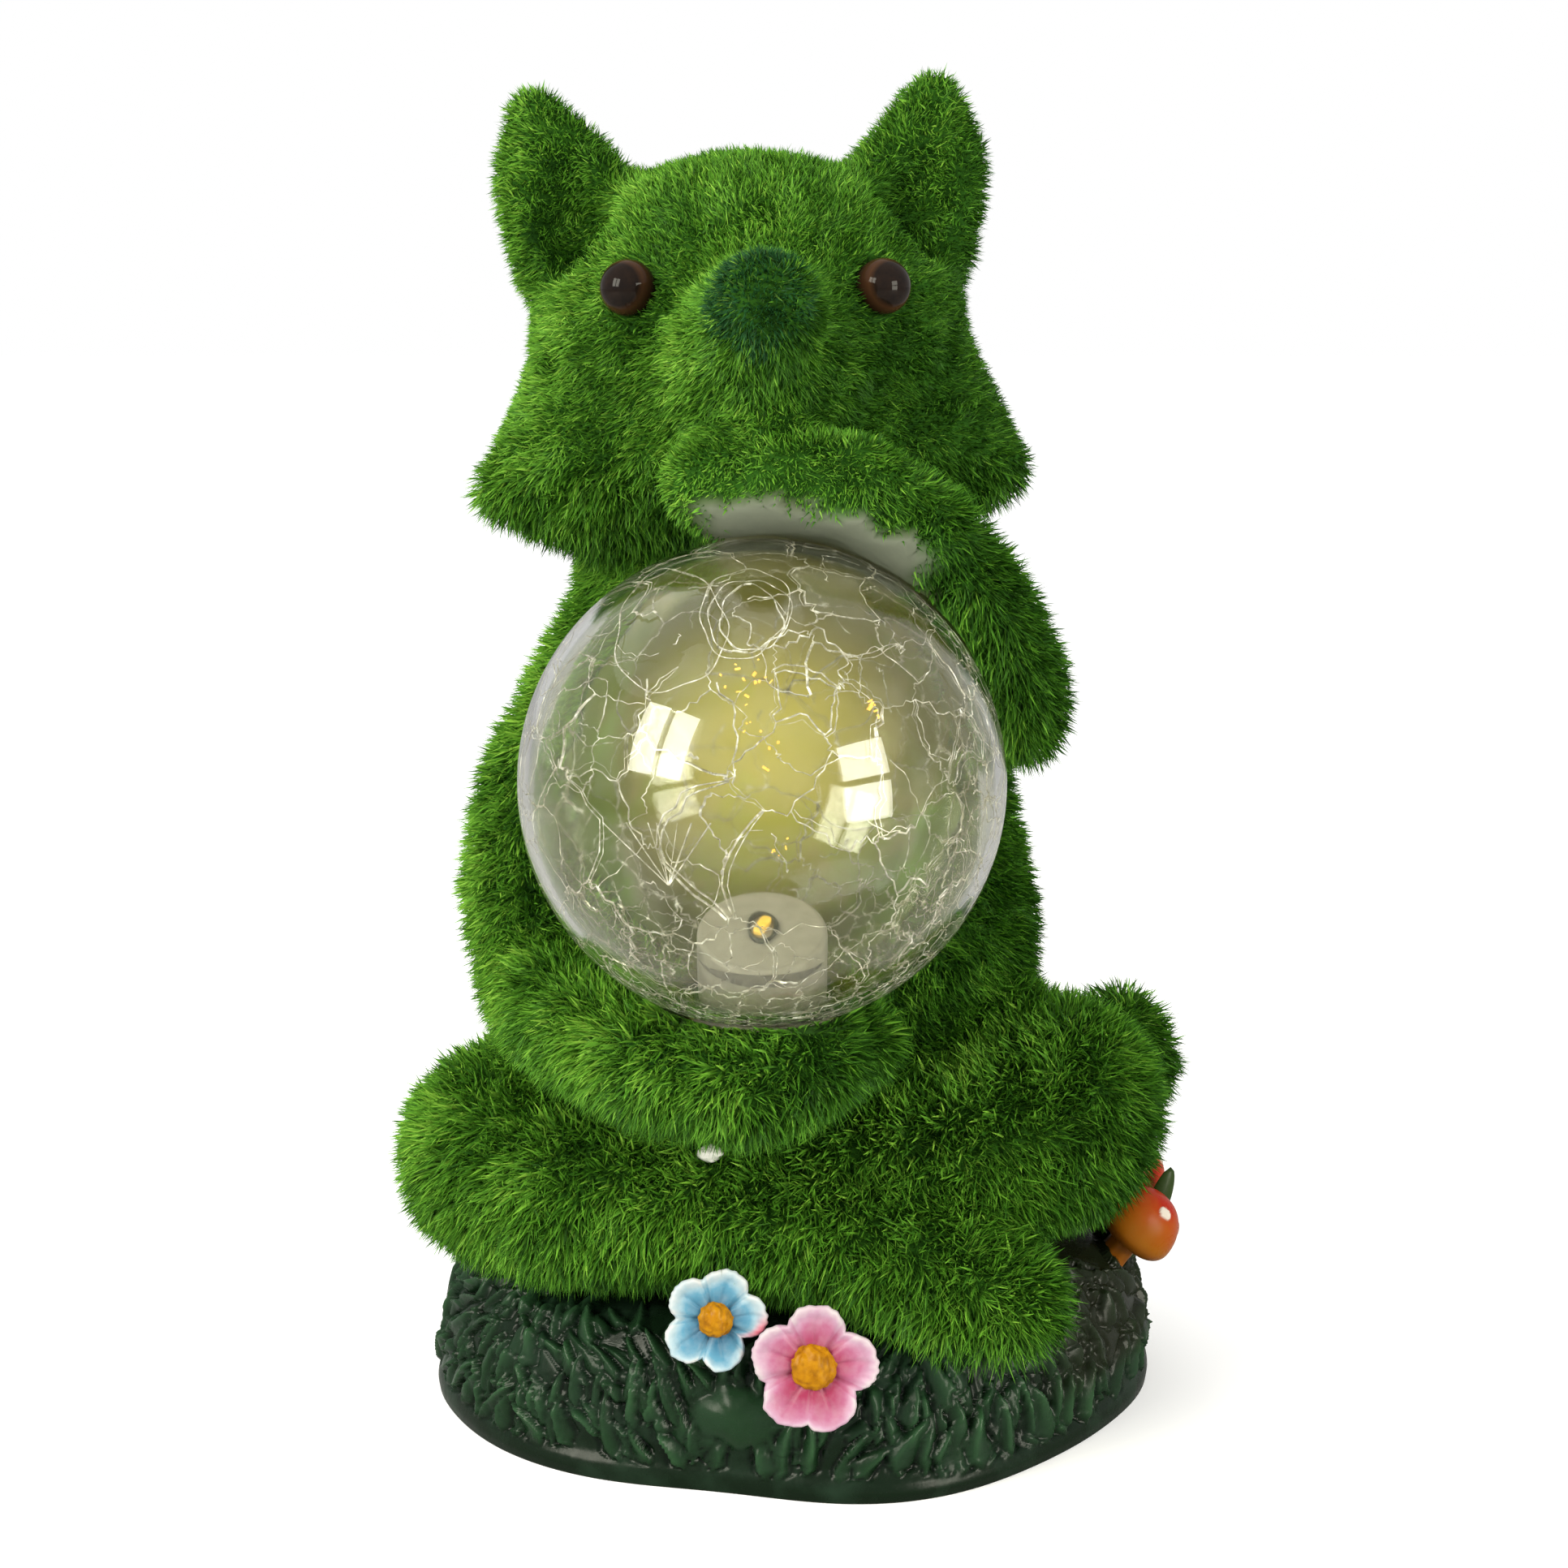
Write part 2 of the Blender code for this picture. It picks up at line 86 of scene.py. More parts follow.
def meshPiece(name, points, faces, material, smooth=True, values=None):
    # A mesh from an array of points and arrays of three or four corners a face
    faces = [np.asarray(f, np.int32) for f in (faces if isinstance(faces, list) else [faces])]
    mesh = bpy.data.meshes.new(name)
    mesh.vertices.add(len(points))
    mesh.vertices.foreach_set("co", np.asarray(points, np.float32).ravel())
    corners = np.concatenate([f.ravel() for f in faces])
    sides = np.concatenate([np.full(len(f), f.shape[1]) for f in faces])
    starts = np.concatenate([[0], np.cumsum(sides)[:-1]]).astype(np.int32)
    mesh.loops.add(len(corners))
    mesh.loops.foreach_set("vertex_index", corners)
    mesh.polygons.add(len(sides))
    mesh.polygons.foreach_set("loop_start", starts)
    mesh.update(calc_edges=True)
    mesh.validate()
    mesh.polygons.foreach_set("use_smooth", np.full(len(mesh.polygons), smooth))
    setValues(mesh, values or {})
    mesh.materials.append(material)
    piece = bpy.data.objects.new(name, mesh)
    scene.collection.objects.link(piece)
    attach(piece, "root")
    return piece


def gridFaces(rows, columns):
    # Quads of a grid whose columns run round, rows outwards; the last column meets the first
    row, column = np.meshgrid(np.arange(rows - 1) * columns, np.arange(columns), indexing="ij")
    beside = (column + 1) % columns
    corners = [row + column, row + beside, row + columns + beside, row + columns + column]
    return np.stack(corners, -1).reshape(-1, 4)


def fanFaces(ring, pole, flip=False):
    # Triangles from each side of a ring to one pole
    beside = np.roll(ring, -1)
    order = (beside, ring) if flip else (ring, beside)
    return np.stack([*order, np.full(len(ring), pole)], -1)


def closedGrid(rows, columns, fromTop=False, first=0):
    # A grid that runs round, closed by fans to the two points after it: below row 0 and above the last row,
    # or the other way round if its rows run down
    ring = np.arange(columns)
    body = gridFaces(rows, columns)
    return [(body[:, ::-1] if fromTop else body) + first,
            fanFaces(ring, rows * columns, flip=not fromTop) + first,
            fanFaces((rows - 1) * columns + ring, rows * columns + 1, flip=fromTop) + first]


def ballGrid(sides, polar, lowest=-1.0):
    # Rings of a ball of radius 1 at the given polar angles, from the top down, then its top and lowest point
    a, b = np.meshgrid(np.arange(sides) * 2 * math.pi / sides, polar)
    ball = np.stack([np.sin(b) * np.cos(a), np.sin(b) * np.sin(a), np.cos(b)], -1).reshape(-1, 3)
    return np.concatenate([ball, [(0, 0, 1), (0, 0, lowest)]])


def polarRings(count):
    # Polar angles of rings evenly spread between the two poles
    return np.linspace(0, math.pi, count + 2)[1:-1]


def readPoints(mesh):
    co = np.empty(len(mesh.vertices) * 3, np.float32)
    normals = np.empty(len(mesh.vertices) * 3, np.float32)
    mesh.vertices.foreach_get("co", co)
    mesh.vertex_normals.foreach_get("vector", normals)
    return co.reshape(-1, 3).astype(float), normals.reshape(-1, 3).astype(float)


def writePoints(mesh, points):
    mesh.vertices.foreach_set("co", points.astype(np.float32).ravel())
    mesh.update()


# Shader groups and materials

def socketsOf(group, ins, outs):
    for name, kind, value in ins:
        made = group.interface.new_socket(name=name, in_out="INPUT", socket_type=kind)
        if value is not None:
            made.default_value = value
    for name, kind in outs:
        group.interface.new_socket(name=name, in_out="OUTPUT", socket_type=kind)


def colourOf(value):
    # A colour with its alpha; a single number is a grey
    return (*value, 1) if isinstance(value, tuple) else (value, value, value, 1)


class Wires:
    # Small hand for nodes: adds them, sets their values and joins their sockets
    def __init__(self, tree):
        self.tree = tree

    def add(self, kind, **values):
        node = self.tree.nodes.new(kind)
        for key, value in values.items():
            setattr(node, key, value)
        return node

    def join(self, source, target):
        self.tree.links.new(source, target)

    def put(self, value, socket):
        # Joins another socket, or sets a plain value
        if hasattr(value, "links"):
            self.join(value, socket)
        else:
            socket.default_value = colourOf(value) if socket.type == "RGBA" else value

    def attribute(self, name):
        return self.add("ShaderNodeAttribute", attribute_name=name).outputs["Fac"]

    def noise(self, vector, scale, detail=3.0, rough=0.55):
        node = self.add("ShaderNodeTexNoise")
        self.join(vector, node.inputs["Vector"])
        for key, value in (("Scale", scale), ("Detail", detail), ("Roughness", rough)):
            node.inputs[key].default_value = value
        return node.outputs["Fac"]

    def ramp(self, factor, stops):
        node = self.add("ShaderNodeValToRGB")
        bar = node.color_ramp.elements
        while len(bar) < len(stops):
            bar.new(0.5)
        for element, (place, colour) in zip(bar, stops):
            element.position = place
            element.color = colourOf(colour)
        self.join(factor, node.inputs["Fac"])
        return node.outputs["Color"]

    def patches(self, vector, scale, detail, stops):
        # Noise through a colour ramp
        return self.ramp(self.noise(vector, scale, detail), stops)

    def mix(self, factor, one, two, blend="MIX"):
        node = self.add("ShaderNodeMix", data_type="RGBA", blend_type=blend)
        for value, socket in ((factor, node.inputs[0]), (one, node.inputs[6]), (two, node.inputs[7])):
            self.put(value, socket)
        return node.outputs[2]

    def plus(self, one, two, kind="ADD"):
        node = self.add("ShaderNodeMath", operation=kind)
        self.put(one, node.inputs[0])
        self.put(two, node.inputs[1])
        return node.outputs[0]

    def times(self, one, two):
        return self.plus(one, two, "MULTIPLY")

    def bump(self, height, strength, distance, shader):
        node = self.add("ShaderNodeBump")
        node.inputs["Strength"].default_value = strength
        node.inputs["Distance"].default_value = distance
        self.join(height, node.inputs["Height"])
        self.join(node.outputs["Normal"], shader.inputs["Normal"])


def brushedPaint():
    # Hand-painted resin: a thin second tone in blotches, brush mottling and small pits
    group = bpy.data.node_groups.new("brushedPaint", "ShaderNodeTree")
    socketsOf(group, [("Vector", "NodeSocketVector", None), ("Paint", "NodeSocketColor", (0.5, 0.5, 0.5, 1)),
                      ("Worn", "NodeSocketColor", (0.8, 0.8, 0.8, 1)), ("Scale", "NodeSocketFloat", 400.0),
                      ("Amount", "NodeSocketFloat", 0.4), ("Gloss", "NodeSocketFloat", 0.3)],
              [("Color", "NodeSocketColor"), ("Rough", "NodeSocketFloat"), ("Height", "NodeSocketFloat")])
    w = Wires(group)
    given = w.add("NodeGroupInput").outputs
    out = w.add("NodeGroupOutput").inputs
    coarse = w.add("ShaderNodeTexNoise")
    fine = w.add("ShaderNodeTexNoise")
    for node, detail in ((coarse, 5.0), (fine, 3.0)):
        w.join(given["Vector"], node.inputs["Vector"])
        node.inputs["Detail"].default_value = detail
    w.join(given["Scale"], coarse.inputs["Scale"])
    w.join(w.times(given["Scale"], 5.0), fine.inputs["Scale"])
    patch = w.ramp(coarse.outputs["Fac"], [(0.42, 0), (0.72, 1)])
    w.join(w.mix(w.times(patch, given["Amount"]), given["Paint"], given["Worn"]), out["Color"])
    rough = w.plus(w.times(fine.outputs["Fac"], 0.22), given["Gloss"])
    w.join(w.plus(rough, w.times(patch, 0.10)), out["Rough"])
    w.join(w.plus(w.times(coarse.outputs["Fac"], 0.7), w.times(fine.outputs["Fac"], 0.3)), out["Height"])
    return group


paintGroup = brushedPaint()


def newMaterial(name, **plain):
    # A material, its wires, its Principled node and object coordinates, with plain values set on the shader
    material = bpy.data.materials.new(name)
    material.use_nodes = True
    w = Wires(material.node_tree)
    shader = material.node_tree.nodes["Principled BSDF"]
    for key, value in plain.items():
        w.put(value, shader.inputs[key.replace("_", " ")])
    coords = w.add("ShaderNodeTexCoord").outputs["Object"]
    return material, w, shader, coords


def usePaint(w, shader, coords, paint, worn, scale=400.0, amount=0.4, gloss=0.3, bump=0.25, depth=0.0003):
    # Puts the paint group in a material; paint and worn are colours or sockets
    node = w.add("ShaderNodeGroup", node_tree=paintGroup)
    w.join(coords, node.inputs["Vector"])
    given = {"Paint": paint, "Worn": worn, "Scale": scale, "Amount": amount, "Gloss": gloss}
    for key, value in given.items():
        w.put(value, node.inputs[key])
    w.join(node.outputs["Color"], shader.inputs["Base Color"])
    w.join(node.outputs["Rough"], shader.inputs["Roughness"])
    w.bump(node.outputs["Height"], bump, depth, shader)


# Camera, lights and floor

view = {"place": (-0.003, -0.482, 0.222), "down": math.radians(12.5), "sensor": 36, "lens": 62.95,
        "near": 0.01}
camera = bpy.data.objects.new("camera", bpy.data.cameras.new("camera"))
scene.collection.objects.link(camera)
camera.location = view["place"]
camera.rotation_euler = (math.pi / 2 - view["down"], 0, 0)
camera.data.sensor_width = view["sensor"]
camera.data.lens = view["lens"]
camera.data.clip_start = view["near"]
scene.camera = camera

# Two panes stand side by side at the left as a window, two lie one over the other at the right as the fill
studio = {
    "aim": (0.0, -0.02, 0.12), "paneColour": (1.0, 0.97, 0.82),
    "window": {"place": (-0.62, -0.55, 0.50), "power": 4.3, "pane": (0.19, 0.44),
               "panes": ((-0.116, 0), (0.116, 0))},
    "fill": {"place": (0.62, -0.58, 0.26), "power": 3.2, "pane": (0.34, 0.22),
             "panes": ((0, -0.13), (0, 0.13))},
    "softTop": {"power": 1.35, "spread": math.radians(70), "from": (-0.35, 0.10, 0.93)},
    "around": 0.62, "backdrop": 1.0,
}
scene.view_settings.view_transform = "Standard"
for name in ("window", "fill"):
    form = studio[name]
    facing = (Vector(studio["aim"]) - Vector(form["place"])).to_track_quat("-Z", "Y")
    for i, shift in enumerate(form["panes"]):
        label = name + "Pane" + str(i)
        lamp = bpy.data.objects.new(label, bpy.data.lights.new(label, "AREA"))
        lamp.data.shape = "RECTANGLE"
        lamp.data.size, lamp.data.size_y = form["pane"]
        lamp.data.energy = form["power"]
        lamp.data.color = studio["paneColour"]
        lamp.location = Vector(form["place"]) + facing @ Vector((*shift, 0))
        lamp.rotation_euler = facing.to_euler()
        scene.collection.objects.link(lamp)
softTop = bpy.data.objects.new("softTop", bpy.data.lights.new("softTop", "SUN"))
softTop.data.energy = studio["softTop"]["power"]
softTop.data.angle = studio["softTop"]["spread"]
softTop.rotation_euler = Vector(studio["softTop"]["from"]).to_track_quat("Z", "Y").to_euler()
softTop.visible_glossy = False
scene.collection.objects.link(softTop)
scene.world = bpy.data.worlds.new("studio")
scene.world.use_nodes = True
w = Wires(scene.world.node_tree)
sky = scene.world.node_tree.nodes["Background"]
seen = w.add("ShaderNodeLightPath").outputs["Is Camera Ray"]
w.join(w.mix(seen, studio["around"], studio["backdrop"]), sky.inputs["Color"])

# The camera sees a floor as bright as the backdrop; reflections and bounced light get a greyer one
floorMaterial, w, shader, coords = newMaterial("paleFloor", Specular_IOR_Level=0.1, Emission_Strength=1.0)
seen = w.add("ShaderNodeLightPath").outputs["Is Camera Ray"]
pale = w.mix(seen, 0.42, 0.76)
usePaint(w, shader, coords, pale, pale, scale=30.0, gloss=0.6, bump=0.02)
w.join(w.mix(seen, 0.0, 0.32), shader.inputs["Emission Color"])
wide = 3.0
sheet = bpy.data.meshes.new("floor")
sheet.from_pydata([(-wide, -wide, 0), (wide, -wide, 0), (wide, wide, 0), (-wide, wide, 0)], [], [(0, 1, 2, 3)])
sheet.materials.append(floorMaterial)
floor = bpy.data.objects.new("floor", sheet)
scene.collection.objects.link(floor)
print("stage: camera, lights and floor")


# The globe: a blown glass shell, its cracks, and the lamp inside it

lowGlobe, highGlobe = nodeBox("globe")
globe = {
    "radius": (highGlobe[0] - lowGlobe[0]) / 2,
    "wall": 0.0018,
    "neckRadius": 0.0133,
    "neckEnd": lowGlobe[2],
    "lip": 0.0004,
    "innerStep": 0.0006,
    "outerStep": 0.001,
    "rounds": 144,
    "outerRows": 72,
    "innerRows": 66,
}
globe["centre"] = np.array(((lowGlobe[0] + highGlobe[0]) / 2, (lowGlobe[1] + highGlobe[1]) / 2,
                            highGlobe[2] - globe["radius"]))


def turned(name, profile, centre, rounds, material):
    # Lathe: each profile point (radius, height) goes round a vertical axis through centre. The profile starts
    # and ends on the axis and runs from the bottom outwards and up
    angles = np.arange(rounds) * 2 * math.pi / rounds
    ring = np.stack([np.cos(angles), np.sin(angles)], -1)
    body = profile[1:-1]
    points = np.concatenate([body[:, None, :1] * ring[None], np.repeat(body[:, None, 1:], rounds, 1)], -1)
    points = np.concatenate([points.reshape(-1, 3), [(0, 0, profile[0, 1]), (0, 0, profile[-1, 1])]])
    return meshPiece(name, points + centre, closedGrid(len(body), rounds), material)


def rounded(points, radius, steps=5):
    # A profile whose inner corners are cut by arcs: points on a quadratic curve through each corner
    points = [np.array(p, float) for p in points]
    out = [points[0]]
    for before, corner, after in zip(points, points[1:], points[2:]):
        a, b = before - corner, after - corner
        reach = min(radius, np.linalg.norm(a) / 2, np.linalg.norm(b) / 2)
        start, end = corner + unit(a) * reach, corner + unit(b) * reach
        t = np.linspace(0, 1, steps)[:, None]
        out.extend(start * (1 - t) ** 2 + corner * 2 * t * (1 - t) + end * t ** 2)
    out.append(points[-1])
    return np.array(out)


ball, wall, neck = globe["radius"], globe["wall"], globe["neckRadius"]
neckEnd = globe["neckEnd"] - globe["centre"][2]
fromNeck = np.linspace(math.asin(neck / ball), math.pi, globe["outerRows"])
outer = ball * np.stack([np.sin(fromNeck), -np.cos(fromNeck)], -1)
fromTop = np.linspace(math.pi, math.asin((neck - wall) / (ball - wall)), globe["innerRows"])
inner = (ball - wall) * np.stack([np.sin(fromTop), -np.cos(fromTop)], -1)
glass, w, shader, coords = newMaterial("crackledGlass", Base_Color=(0.97, 0.98, 0.95), Roughness=0.02,
                                       Transmission_Weight=1.0, IOR=1.45)
w.bump(w.noise(coords, 45.0, 2.0), 0.06, 0.001, shader)
haze, w, shader, coords = newMaterial("crackledGlassInside", Base_Color=(0.93, 0.94, 0.88),
                                      Transmission_Weight=1.0, IOR=1.45)
w.join(w.patches(coords, 30.0, 3.0, [(0.35, 0.0), (0.70, 0.10)]), shader.inputs["Roughness"])

# The shell is one closed lathe, from the inner pole down the inside, round the neck's rim and up the outside
lip, innerEnd = globe["lip"], inner[-1, 1] - globe["innerStep"]
innerPath = np.concatenate([inner[1:], [(neck - wall, innerEnd), (neck - wall, neckEnd + lip)]])
rimPath = [(neck - wall + lip, neckEnd), (neck - lip, neckEnd)]
outerPath = np.concatenate([[(neck, neckEnd + lip), (neck, outer[0, 1] - globe["outerStep"])], outer[:-1]])
shellPath = np.concatenate([[(0, inner[0, 1])], innerPath, rimPath, outerPath, [(0, outer[-1, 1])]])
globeGlass = turned("globeGlass", shellPath, globe["centre"], globe["rounds"], glass)
globeGlass.data.materials.append(haze)
# The inner side has its own material: the rows down the inside, and the fan at the inner pole
isInner = np.zeros(len(globeGlass.data.polygons), np.int32)
isInner[:(len(innerPath) - 1) * globe["rounds"]] = 1
isInner[(len(shellPath) - 3) * globe["rounds"]:][:globe["rounds"]] = 1
globeGlass.data.polygons.foreach_set("material_index", isInner)
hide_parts("globe")

# The rings, the fan, the clear cell, the glints and one crowded spot are given in pixels of a 1932 wide frame
cracks = {
    "gap": 0.25, "fineGap": 0.115, "steps": 7, "lowest": -0.92, "pool": 7000,
    "seed": 11, "fineSeed": 12, "pathSeed": 3, "finePathSeed": 5, "cloudSeed": 17,
    "wide": 0.00016, "deep": 0.00028, "jitter": 0.00040, "lean": 0.00015, "twinGap": 0.001,
    "below": 0.00022, "cloudBelow": 0.0008, "cloudMost": 0.17,
    "rings": ((926, 772, 46), (929, 776, 38), (921, 768, 53), (834, 788, 70)), "ringChords": 16,
    "ringsAt": (870, 785, 78), "ringsWay": (0.15, -0.75, 0.65), "clearCell": (834, 788), "crowdAt": (800, 920),
    "fan": {"foot": (835, 1084), "tops": (758, 786, 812, 822, 846, 862, 884), "topRow": 1012},
    "glints": ((925, 855, 26, 16), (1066, 878, 13, 6), (960, 1040, 10, 5), (932, 918, 22, 7)),
}
seenGlobe = {"column": 940, "row": 967, "radius": 302, "sinDown": 0.216, "cosDown": 0.976}


def onGlobe(px, py):
    # The globe's direction seen at a pixel: the pixel gives two parts, the unit ball the one to the camera
    x = (np.asarray(px) - seenGlobe["column"]) / seenGlobe["radius"]
    y = (seenGlobe["row"] - np.asarray(py)) / seenGlobe["radius"]
    z = np.sqrt(np.maximum(1 - x * x - y * y, 0.0))
    sin, cos = seenGlobe["sinDown"], seenGlobe["cosDown"]
    return unit(np.stack([x + 0 * z, y * sin - z * cos, y * cos + z * sin], -1))


def crackSeeds(gap, seed, crowded):
    # Directions over the globe that keep a gap from each other, less where it is crowded
    rng = np.random.default_rng(seed)
    pool = unit(rng.normal(size=(cracks["pool"], 3)))
    crowd = crowded(pool)
    keep = pool[:1]
    for p, near in zip(pool[1:], gap / crowd[1:]):
        if (((keep - p) ** 2).sum(1) > near * near).all():
            keep = np.concatenate([keep, [p]])
    return keep


ringsWay = unit(np.array(cracks["ringsWay"]))


def mainCrowd(p):
    # Closer together low down, at the right and near the rings, wider apart at the upper left
    aside = 0.9 * ease(0.30, 0.95, p[:, 0]) + 0.35 * ease(0.6, 1.0, -p[:, 0])
    return 0.85 + 1.3 * ease(0.35, 0.95, -p[:, 2]) + aside + 0.5 * ease(0.85, 0.98, p @ ringsWay)


def fineCrowd(p):
    return 0.7 + 0.8 * ease(0.3, 0.9, -p[:, 2])


def fineShare(p):
    # How many of the fine cracks stay: more low down, at both sides, near the rings and left of the middle
    aside = 0.55 * ease(0.55, 0.95, p[:, 0]) + 0.30 * ease(0.5, 0.95, -p[:, 0])
    near = 0.45 * ease(0.88, 0.99, p @ ringsWay) + 0.35 * ease(0.93, 0.99, p @ onGlobe(*cracks["crowdAt"]))
    return 0.34 + 0.85 * ease(0.35, 0.80, -p[:, 2]) + aside + near


def cellBorders(seeds):
    # Cell borders on a ball: the hull of the seeds gives the triangles, and a border joins the centres of
    # the circles through two triangles that share a side. Returns the centres, and for each border its two
    # centres and the two seeds beside it, the one on the right of its way first
    hull = bmesh.new()
    for p in seeds:
        hull.verts.new(p)
    bmesh.ops.convex_hull(hull, input=hull.verts)
    bmesh.ops.triangulate(hull, faces=hull.faces)
    hull.normal_update()
    hull.verts.index_update()
    hull.faces.index_update()
    centres = np.array([f.normal for f in hull.faces])
    loops = [tuple(e.link_loops) for e in hull.edges if len(e.link_loops) == 2]
    pairs = np.array([[l.face.index for l in both] for both in loops])
    cells = np.array([[l.vert.index for l in both] for both in loops])
    hull.free()
    return unit(centres), pairs, cells


def crackPaths(borders, steps, jitter, seed):
    # Each border as a row of directions from corner to corner, bowed and shaken sideways except at its ends
    centres, pairs, _ = borders
    a, b = centres[pairs[:, 0]], centres[pairs[:, 1]]
    t = np.linspace(0, 1, steps + 1)[None, :, None]
    path = unit(a[:, None] * (1 - t) + b[:, None] * t)
    rng = np.random.default_rng(seed)
    across = unit(np.cross(a, b))[:, None]
    long = np.linalg.norm(a - b, axis=1)[:, None, None]
    bow = rng.normal(size=(len(a), 1, 1)) * 0.12 * long * np.sin(math.pi * t)
    shake = rng.normal(size=(len(a), steps + 1, 1)) * jitter
    shake[:, 0] = shake[:, -1] = 0
    return unit(path + across * (bow + shake))


def crackPlates(paths, topRadius, deep, wide, lean):
    # Thin wedges: two edges at topRadius, wide apart, and one edge deep below them, closed at both ends
    n, m, _ = paths.shape
    along = np.gradient(paths, axis=1)
    across = unit(np.cross(along, paths))
    half = wide[:, None, None] / 2
    one = paths * topRadius + across * half
    two = paths * topRadius - across * half
    low = paths * (topRadius - deep[:, None, None]) + across * lean[:, None, None]
    ringPoints = np.stack([one, two, low], 2).reshape(-1, 3)
    i, j, k = np.meshgrid(np.arange(n), np.arange(m - 1), np.arange(3), indexing="ij")
    base = (i * m + j) * 3
    quads = np.stack([base + k, base + 3 + k, base + 3 + (k + 1) % 3, base + (k + 1) % 3], -1).reshape(-1, 4)
    first = np.arange(n)[:, None] * m * 3
    last = first + (m - 1) * 3
    caps = np.concatenate([first + np.array([[0, 1, 2]]), last + np.array([[0, 2, 1]])])
    return ringPoints, [quads, caps]


crackMaterial, w, shader, coords = newMaterial("crackFace", Metallic=0.45, Emission_Strength=1.0)
sparkle = w.patches(coords, 700.0, 2.0, [(0.35, (0.52, 0.50, 0.36)), (0.62, (0.85, 0.83, 0.72))])
# Painted reflection: the glint cracks are coloured orange to stand for the lamp's glints
w.join(w.mix(w.attribute("paintedLampLight"), sparkle, (0.95, 0.60, 0.12)), shader.inputs["Base Color"])
# Painted glow: the emission colour paints light caught in the cracks, orange on the glint cracks
paintedCrackGlint = w.patches(coords, 700.0, 2.0, [(0.38, (0.06, 0.055, 0.035)), (0.58, (0.13, 0.125, 0.09)),
                                       (0.70, (0.62, 0.61, 0.54))])
w.join(w.mix(w.attribute("paintedLampLight"), paintedCrackGlint, (0.85, 0.50, 0.08)), shader.inputs["Emission Color"])
w.join(w.patches(coords, 500.0, 2.0, [(0.3, 0.12), (0.7, 0.40)]), shader.inputs["Roughness"])
w.join(w.patches(coords, 260.0, 2.0, [(0.35, 0.45), (0.65, 1.0)]), shader.inputs["Alpha"])

rng = np.random.default_rng(cracks["seed"])
steps, jitter = cracks["steps"], cracks["jitter"] / ball
share = np.linspace(0, 1, steps + 1)
mainSeeds = crackSeeds(cracks["gap"], cracks["seed"], mainCrowd)
mainBorders = cellBorders(mainSeeds)
cellPaths = crackPaths(mainBorders, steps, jitter, cracks["pathSeed"])
rings = []
for px, py, wide in cracks["rings"]:
    # A ring of cracks: a wavy circle as the camera sees it, in short chords
    chords = cracks["ringChords"]
    turn = np.arange(0, chords * steps + 1) * 2 * math.pi / (chords * steps)
    wave = 0.07 * np.sin(2 * turn + px) + 0.05 * np.sin(3 * turn + wide) + 0.03 * np.sin(7 * turn + 2 * wide)
    reach = wide * (1 + wave)
    circle = onGlobe(px + reach * np.cos(turn), py + reach * np.sin(turn))
    rings += [circle[i * steps:(i + 1) * steps + 1] for i in range(chords)]
# The fan: straight cracks that run down to one point
(footX, footY), topRow = cracks["fan"]["foot"], cracks["fan"]["topRow"]
rings += [onGlobe(px + (footX - px) * share, topRow + (footY - topRow) * share) for px in cracks["fan"]["tops"]]
glints = []
for px, py, spread, many in cracks["glints"]:
    # Short cracks that carry painted glints of the lamp's light
    start = rng.normal(size=(many, 2)) * spread / 1.6
    aim = rng.normal(size=(many, 2)) * 3.5
    glints += [onGlobe(px + x + u * share, py + y + v * share) for (x, y), (u, v) in zip(start, aim)]
ringX, ringY, ringReach = cracks["ringsAt"]
fromRings = np.linalg.norm(cellPaths.mean(1) - onGlobe(ringX, ringY), axis=1)
stays = (cellPaths[:, :, 2].min(1) > cracks["lowest"]) & (fromRings > ringReach / seenGlobe["radius"])
paths = cellPaths[stays & (rng.uniform(size=len(cellPaths)) > 0.05)]
# Some cracks have a twin that bows out beside them
twin = paths[rng.uniform(size=len(paths)) < 0.45]
aside = unit(np.cross(np.gradient(twin, axis=1), twin))
aside = aside * rng.uniform(0.5, 1.3, (len(twin), 1, 1)) * rng.choice((-1, 1), (len(twin), 1, 1))
bow = np.sin(math.pi * np.linspace(0.15, 0.95, steps + 1))[None, :, None]
twin = unit(twin + aside * bow * cracks["twinGap"] / ball)
fineBorders = cellBorders(crackSeeds(cracks["fineGap"], cracks["fineSeed"], fineCrowd))
fine = crackPaths(fineBorders, steps, jitter * 0.6, cracks["finePathSeed"])
wanted = fineShare(fine.mean(1))
fine = fine[(fine[:, :, 2].min(1) > cracks["lowest"]) & (rng.uniform(size=len(fine)) < wanted)]
kinds = ((paths, 0.5, 1.35), (twin, 0.4, 0.9), (rings, 0.6, 1.4), (fine, 0.4, 0.95), (glints, 1.1, 2.3))
thin = np.concatenate([rng.uniform(least, most, len(kind)) for kind, least, most in kinds])
paths = np.concatenate([np.stack(kind) for kind, _, _ in kinds])
crackCount = len(paths)
lean = rng.normal(size=crackCount) * cracks["lean"]
points, faces = crackPlates(paths, ball - cracks["below"], cracks["deep"] * thin, cracks["wide"] * thin, lean)
# The last cracks are the glints, which carry the painted lamp light
paintedLampLight = np.repeat(np.arange(crackCount) >= crackCount - len(glints), (steps + 1) * 3)
meshPiece("globeCracks", points + globe["centre"], faces, crackMaterial, smooth=False,
          values={"paintedLampLight": paintedLampLight})


